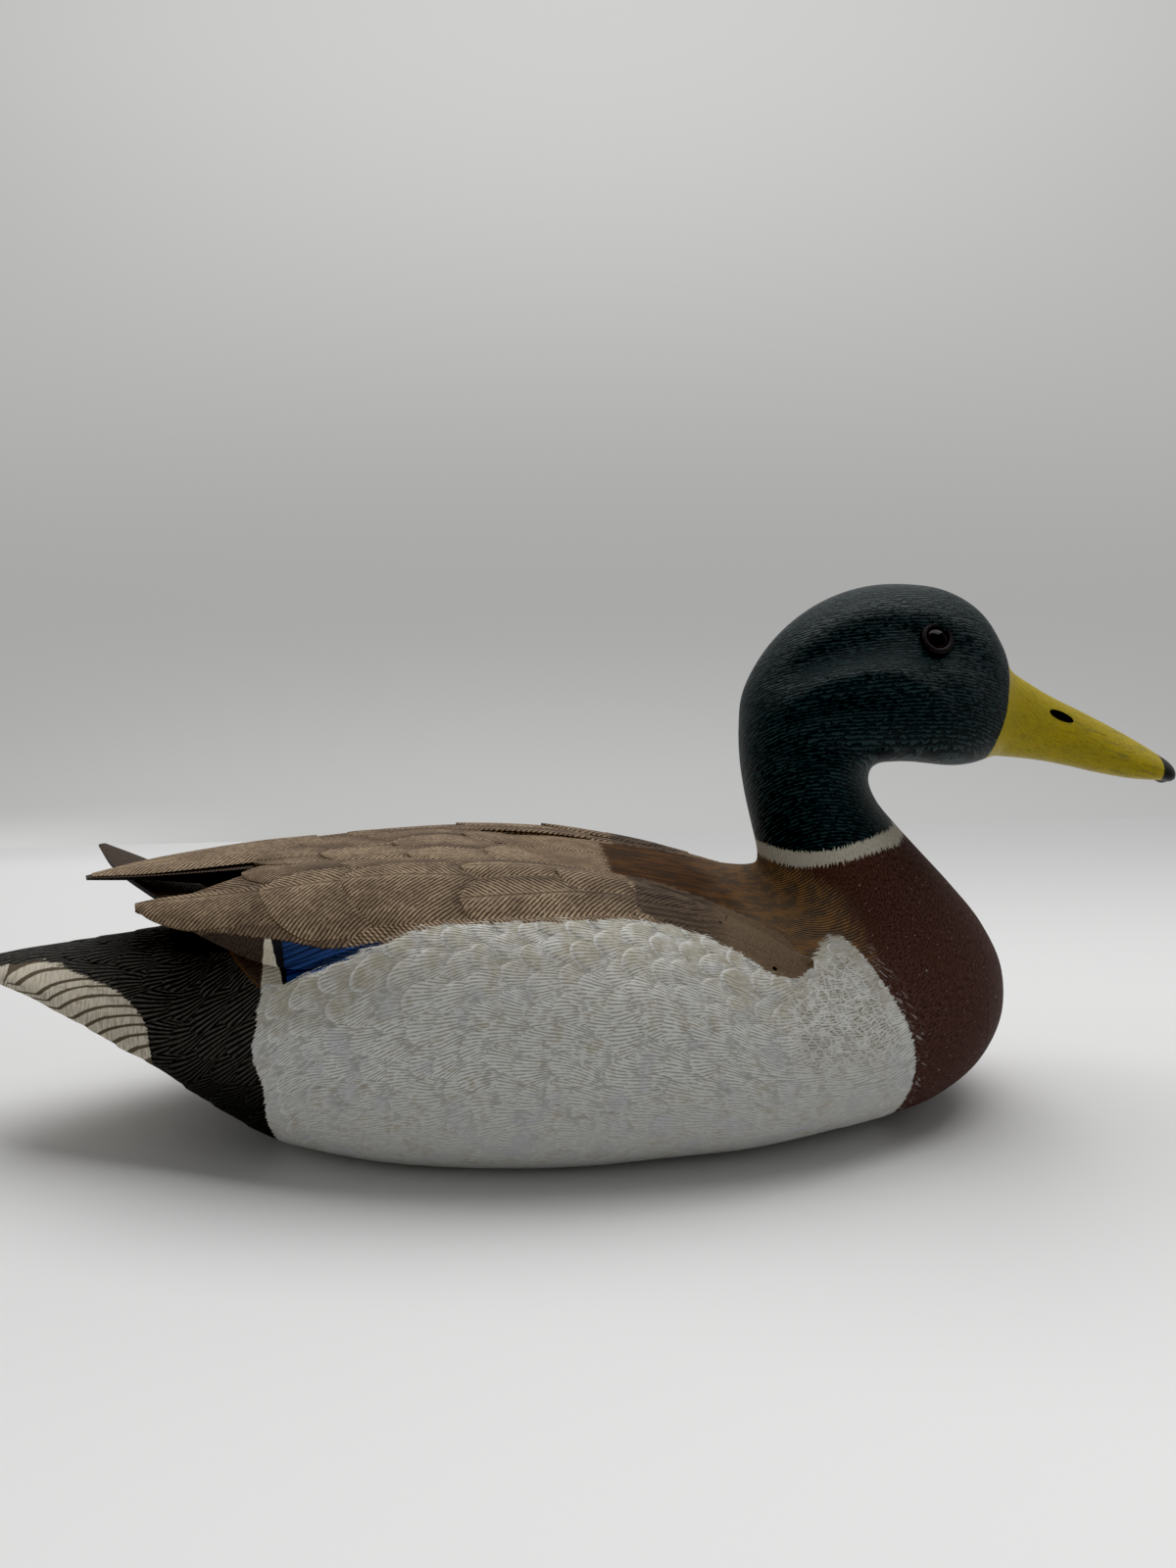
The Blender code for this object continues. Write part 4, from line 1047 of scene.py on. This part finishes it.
def wing_colours(p, barb, shaft, number, place):
    """Taupe feathers with dark strokes and painted shade beside the feathers on top, and below the plate of
    long feathers dark brown, bars and blue.

    barb is the wave of the strokes, shaft marks the shafts, and number differs from feather to feather."""
    x, y, z, here = place
    fine = p.noise(here, 1.7, detail=3, roughness=0.65)
    patch = p.noise(here, 0.1, detail=3, roughness=0.6)
    tone = sine(number * 2.3) * 0.14 + patch
    taupe = p.mix(tone.step(0.3, 0.7), (0.43, 0.317, 0.205), (0.245, 0.172, 0.113))
    taupe = p.mix(fine.step(0.6, 0.78) * 0.35, taupe, (0.42, 0.34, 0.25))
    taupe = p.mix(p.noise(here, 0.55).step(0.42, 0.68) * 0.5, taupe, (0.17, 0.112, 0.07))
    taupe = p.mix(barb.step(0.25, -0.45) * 0.92, taupe, (0.048, 0.03, 0.019))
    taupe = p.mix(shaft * 0.6, taupe, (0.05, 0.033, 0.022))
    # Painted shade beside the outlines of the feathers that lie on top
    taupe = p.mix(p.mark("shade") * 0.65, taupe, (0.04, 0.025, 0.018))
    drop = p.math("MAXIMUM", 84 - z, 0)
    front = (x + drop * -2.2 + patch * 4 + barb * 0.8 + (fine - 0.5) * 3).step(11, 13)
    smooth = front * (x + z * -0.35 + patch * 8).step(4, 20)
    across = z + x * 0.2
    broken = p.noise(p.at(x * 0.25, across * 0.8)) - 0.5
    stroke = ((across * 4.9 + patch * 12).sine() + broken * 3.4).step(0.4, -0.6)
    stroke = stroke * (1 - smooth) * (fine.step(0.35, 0.6) * 0.5 + 0.5)
    lobe = p.mix(fine.step(0.3, 0.7), (0.105, 0.07, 0.044), (0.175, 0.122, 0.078))
    lobe = p.mix((1 - smooth) * (1.1 - patch), lobe, (0.055, 0.038, 0.028))
    lobe = p.mix(stroke * 0.6, lobe, (0.014, 0.01, 0.008))
    for prick in PRICKS:
        away = p.add("VectorMath", {0: here, 1: prick}, "Value", operation="DISTANCE")
        lobe = p.mix(away.step(1.1, 0.6), lobe, (0.004, 0.003, 0.003))
    taupe = p.mix(front, taupe, lobe)

    strand = p.noise(p.at(x * 1.6, z * 0.3, y * 0.3)) - 0.5
    line = x + (z - 70) * -0.1 + strand * 0.9
    bands = p.mix(fine.step(0.3, 0.7), (0.022, 0.015, 0.012), (0.066, 0.046, 0.036))
    cream = p.mix(fine.step(0.3, 0.7), (0.46, 0.41, 0.32), (0.64, 0.59, 0.48))
    bands = p.mix((line + 110.3).step(-0.2, 0.2), bands, cream)
    flare = z * -0.38 + 28.9
    bands = p.mix((line + 107.3 - flare).step(-0.2, 0.2), bands, (0.012, 0.012, 0.014))
    ray = p.noise(p.at((z + x * -0.35) * 1.1, x * 0.03))
    blue = p.mix(ray.step(0.42, 0.6), (0.01, 0.018, 0.045), (0.024, 0.062, 0.19))
    bands = p.mix((line + 104.3 - flare * 0.6).step(-0.2, 0.2), bands, blue)
    below = (p.mark("band") + strand * 1.6).step(-0.3, 0.3) * x.step(-71, -74)
    return p.mix(below, taupe, bands), smooth, fine, below


def wing_paint():
    p = Shade("wing_paint", IOR=1.45, Specular_IOR_Level=0.14)
    u, v = p.pattern()
    place = p.place()
    x, y, z, here = place
    number = (u * (1 / PATTERN_STEP)).floor()
    along, out = u - number * PATTERN_STEP, v.size()
    wander = p.noise(here, 0.12, detail=3) * 7
    barb = ((out * 0.76 + along * 0.65) * 5.1 + wander).sine()
    gap = p.noise(p.at((along + out) * 0.9, (out - along) * 0.35, number * 7))
    barb = barb * (gap.step(0.34, 0.6) * 0.8 + 0.2) * (out.step(0.2, 2.4) * 0.8 + 0.2)
    shaft = out.step(0.55, 0.2)
    colour, smooth, fine, below = wing_colours(p, barb, shaft, number, place)
    edge = (p.noise(here, 0.5, detail=3) - 0.5) * 3.5
    on_flank = (p.mark("flank") + edge).step(-0.2, 0.3) * x.step(-104, -101)
    colour = p.mix(on_flank, colour, (0.58, 0.575, 0.545))
    height = barb * 0.2 * (1 - smooth) * (1 - below * 0.6) + fine * 0.06 - shaft * 0.1 - below * 0.5
    return p.finish(colour, 0.7 + (fine - 0.5) * 0.2, height)


# The dark brown of the primaries, also painted shade on the undersides of the feathers
def primary_paint_and_shade():
    p = Shade("primary_paint_and_shade", IOR=1.45, Specular_IOR_Level=0.14)
    u, v = p.pattern()
    barb = ((v.size() * 0.5 + u * 0.8) * 6.4 + p.noise(p.place()[3], 0.12) * 6).sine()
    fine = p.fine()
    colour = p.mix(barb.step(-0.6, 0.8), (0.024, 0.016, 0.012), (0.105, 0.076, 0.055))
    colour = p.mix(fine.step(0.4, 0.7) * 0.6, colour, (0.055, 0.038, 0.03))
    return p.finish(colour, 0.66 + (fine - 0.5) * 0.2, barb * 0.1 + fine * 0.06)


def dark_paint_and_shade():
    """The rings round the eyes and the inside of the nostrils, and painted shade on the wood under the wings
    and on the undersides and rims of the primaries.
    """
    p = Shade("dark_paint_and_shade", IOR=1.45, Specular_IOR_Level=0.14)
    fine = p.fine()
    colour = p.mix(fine.step(0.3, 0.75), (0.007, 0.006, 0.006), (0.022, 0.018, 0.018))
    return p.finish(colour, 0.5 + (fine - 0.5) * 0.2, fine * 0.08)


def eye_glass():
    """Glass over a painted iris: a dark pupil in a brown ring."""
    p = Shade("eye_glass", Roughness=0.1, IOR=1.5, Specular_IOR_Level=0.1)
    iris = p.mix(p.noise(p.place()[3], 1.2, detail=3), (0.008, 0.005, 0.004), (0.02, 0.011, 0.008))
    p.put(p.shader, "Base Color", p.mix(p.mark("reach").step(2.6, 3), (0.002, 0.002, 0.002), iris))
    return p.material


# The duck

PAINTS = [body_paint(), wing_paint(), primary_paint_and_shade(), dark_paint_and_shade()]
BODY_PAINT, WING_PAINT, PRIMARY_PAINT_AND_SHADE, DARK_PAINT_AND_SHADE = range(4)
SIDES = (("right", -1), ("left", 1))
NO_TURN = Matrix.Identity(3)

rows = all_sections()
rows = read_sections(rows, np.interp(np.arange(len(rows)), *zip(*SPACING)))
duck = sweep_object("duck_carving", rows, HALF_RING, BODY_PAINT)

groups = []
for word, side in SIDES:
    core, sheet = wing_core(f"core_{word}", side), wing_sheet(f"wing_{word}", side)
    groups.append(feathered(sheet, WING_FEATHERS, f"_{word}", wing_surface, side, [core]))
groups.append(feathered(cape("cape"), BACK_FEATHERS, "", cape_surface, 1, []))
for name, line, roll, half_widths, thickness, root, paint in (
    ("primary_right", RIGHT_PRIMARIES, -6.0, PRIMARY_HALF_WIDTHS, 2.6, 3.0, PRIMARY_PAINT_AND_SHADE),
    ("primary_left", LEFT_PRIMARIES, 2.0, PRIMARY_HALF_WIDTHS, 2.6, 9.0, PRIMARY_PAINT_AND_SHADE),
    ("primary_left_top", LEFT_TOP_PRIMARY, 6.0, TOP_HALF_WIDTHS, 1.2, 0.0, WING_PAINT),
):
    groups.append(blade(name, line, roll, half_widths, thickness, root, paint))

data = duck.data
skin = BVHTree.FromPolygons([v.co / MM for v in data.vertices], [tuple(f.vertices) for f in data.polygons])
cuts = []
glass = eye_glass()
for word, side in SIDES:
    eye_box = [np.array(c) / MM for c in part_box(f"eye_{word}")]
    middle = Vector((eye_box[0] + eye_box[1]) / 2)
    outward = (side_point(skin, EYE_AT, side) - middle).normalized()
    lid_at = tuple(middle + outward * (EYE_INSET + 0.4))
    groups.append(ring_around(f"lid_{word}", lid_at, outward, LID_RADIUS, LID_THICKNESS / 2, DARK_PAINT_AND_SHADE))
    cuts.append(ball(f"socket_{word}", middle, [EYE_RADIUS + 0.15] * 3, NO_TURN, 48, DARK_PAINT_AND_SHADE))
    eye = ball(f"glass_{word}", middle, [EYE_RADIUS - 0.01] * 3, NO_TURN, 64, BODY_PAINT)
    eye.data.materials.clear()
    eye.data.materials.append(glass)
    reach = [(Vector(v.co) / MM - middle).cross(outward).length for v in eye.data.vertices]
    eye.data.attributes.new("reach", "FLOAT", "POINT").data.foreach_set("value", reach)
    eye.data.shade_smooth()
    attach(eye, "root")
    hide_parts(f"eye_{word}")
    slope = Matrix.Rotation(math.radians(NOSTRIL_SLOPE), 3, "Y")
    at = side_point(skin, NOSTRIL_AT, side)
    cuts.append(ball(f"nostril_{word}", at, NOSTRIL_RADII, slope, 32, DARK_PAINT_AND_SHADE))

groups.append(ball("nail", Vector(NAIL_AT), NAIL_RADII, NO_TURN, 24, BODY_PAINT))
join(duck, groups)
join(duck, cuts, "DIFFERENCE")
mark_paint(duck.data)
duck.data.shade_smooth()
duck.data.set_sharp_from_angle(angle=math.radians(42))
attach(duck, "root")
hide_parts("carved_duck")

# The stage: a pale floor that runs into the pale world behind it, under one soft light

LIGHT_AT = (0.14, 0.29, 0.95)  # m
LOOK_AT = (-1.64, 0, 115.62)
CAMERA_DISTANCE = 0.5905  # m
CAMERA_ANGLES = (-6, 13)  # degrees from the duck's right side towards its tail, and up
FLOOR = (-1600, -60, 150, 375)  # its rows from front to back, mm; as wide as it reaches to the front

verts = [(x, y, 0) for y in FLOOR for x in (FLOOR[0], -FLOOR[0])]
faces = [(i, i + 1, i + 3, i + 2) for i in (0, 2, 4)]
data = bpy.data.meshes.new("stage")
data.from_pydata((np.array(verts) * MM).tolist(), [], faces)
stage = bpy.data.objects.new("stage", data)
bpy.context.scene.collection.objects.link(stage)
p = Shade("stage_paper_and_shade", IOR=1.3, Specular_IOR_Level=0.2)
x, y, z, here = p.place()
# The floor's colour is painted shade: darker towards the back, most behind the front half of the duck, and a
# little darker along the far edge behind the tail
paper_and_shade = p.mix(y.step(-330, 20), (0.94, 0.94, 0.94), (0.74, 0.74, 0.74))
paper_and_shade = p.mix(y.step(60, 390) * x.step(-250, 60), paper_and_shade, (0.49, 0.49, 0.49))
paper_and_shade = p.mix(y.step(325, 374) * x.step(-40, -180), paper_and_shade, (0.64, 0.64, 0.64))
data.materials.append(p.finish(paper_and_shade, 0.9 + (p.noise(here, 0.4) - 0.5) * 0.05, p.noise(here, 0.8) * 0.01))

bpy.context.scene.world = bpy.data.worlds.new("studio")
p = Shade("studio", bpy.context.scene.world)
parts = p.add("SeparateXYZ", {"Vector": p.add("TexCoord", {}, "Generated")}, "X")
x, y, z = [Num(p, parts.socket.node.outputs[k]) for k in "XYZ"]
off = x - 0.1
glow = 0.4 + z.step(-0.12, 0.2) * 0.23 + z.step(-0.12, -0.25) * 0.125
glow = glow + z.step(-0.225, -0.252) * x.step(-0.05, -0.36) * 0.3
fall = z.step(-0.06, 0.14) * 1.35 + z.step(0.14, 0.32) * 0.4 + z.step(-0.13, -0.2) * 0.65 + 0.15
ahead = p.math("MAXIMUM", 1 - off * off * fall, 0.45)
glow = glow * (0.32 + y.step(0, 0.5) * (ahead - 0.32)) + x.size().step(0.55, 0.95) * 0.2
p.put(p.shader, "Color", p.mix(glow, (0, 0, 0), (1, 1, 0.99)))

light = bpy.data.lights.new("overhead", "AREA")
light.shape = "RECTANGLE"
light.size, light.size_y = 1.15, 0.8
light.energy = 9.3
overhead = bpy.data.objects.new("overhead", light)
overhead.location = LIGHT_AT
overhead.rotation_euler = (-Vector(LIGHT_AT)).to_track_quat("-Z", "Y").to_euler()
bpy.context.scene.collection.objects.link(overhead)

azimuth, elevation = (math.radians(angle) for angle in CAMERA_ANGLES)
level = math.cos(elevation)
away = Vector((math.sin(azimuth) * level, -math.cos(azimuth) * level, math.sin(elevation)))
lens = bpy.data.cameras.new("camera")
lens.lens = 39.375
lens.sensor_width = 36
lens.clip_start = 0.01
camera = bpy.data.objects.new("camera", lens)
camera.location = Vector(LOOK_AT) * MM + away * CAMERA_DISTANCE
camera.rotation_euler = away.to_track_quat("Z", "Y").to_euler()
bpy.context.scene.collection.objects.link(camera)
bpy.context.scene.camera = camera
view = bpy.context.scene.view_settings
view.view_transform = "Standard"
view.use_curve_mapping = True
view.curve_mapping.black_level = (0.006, 0.006, 0.006)
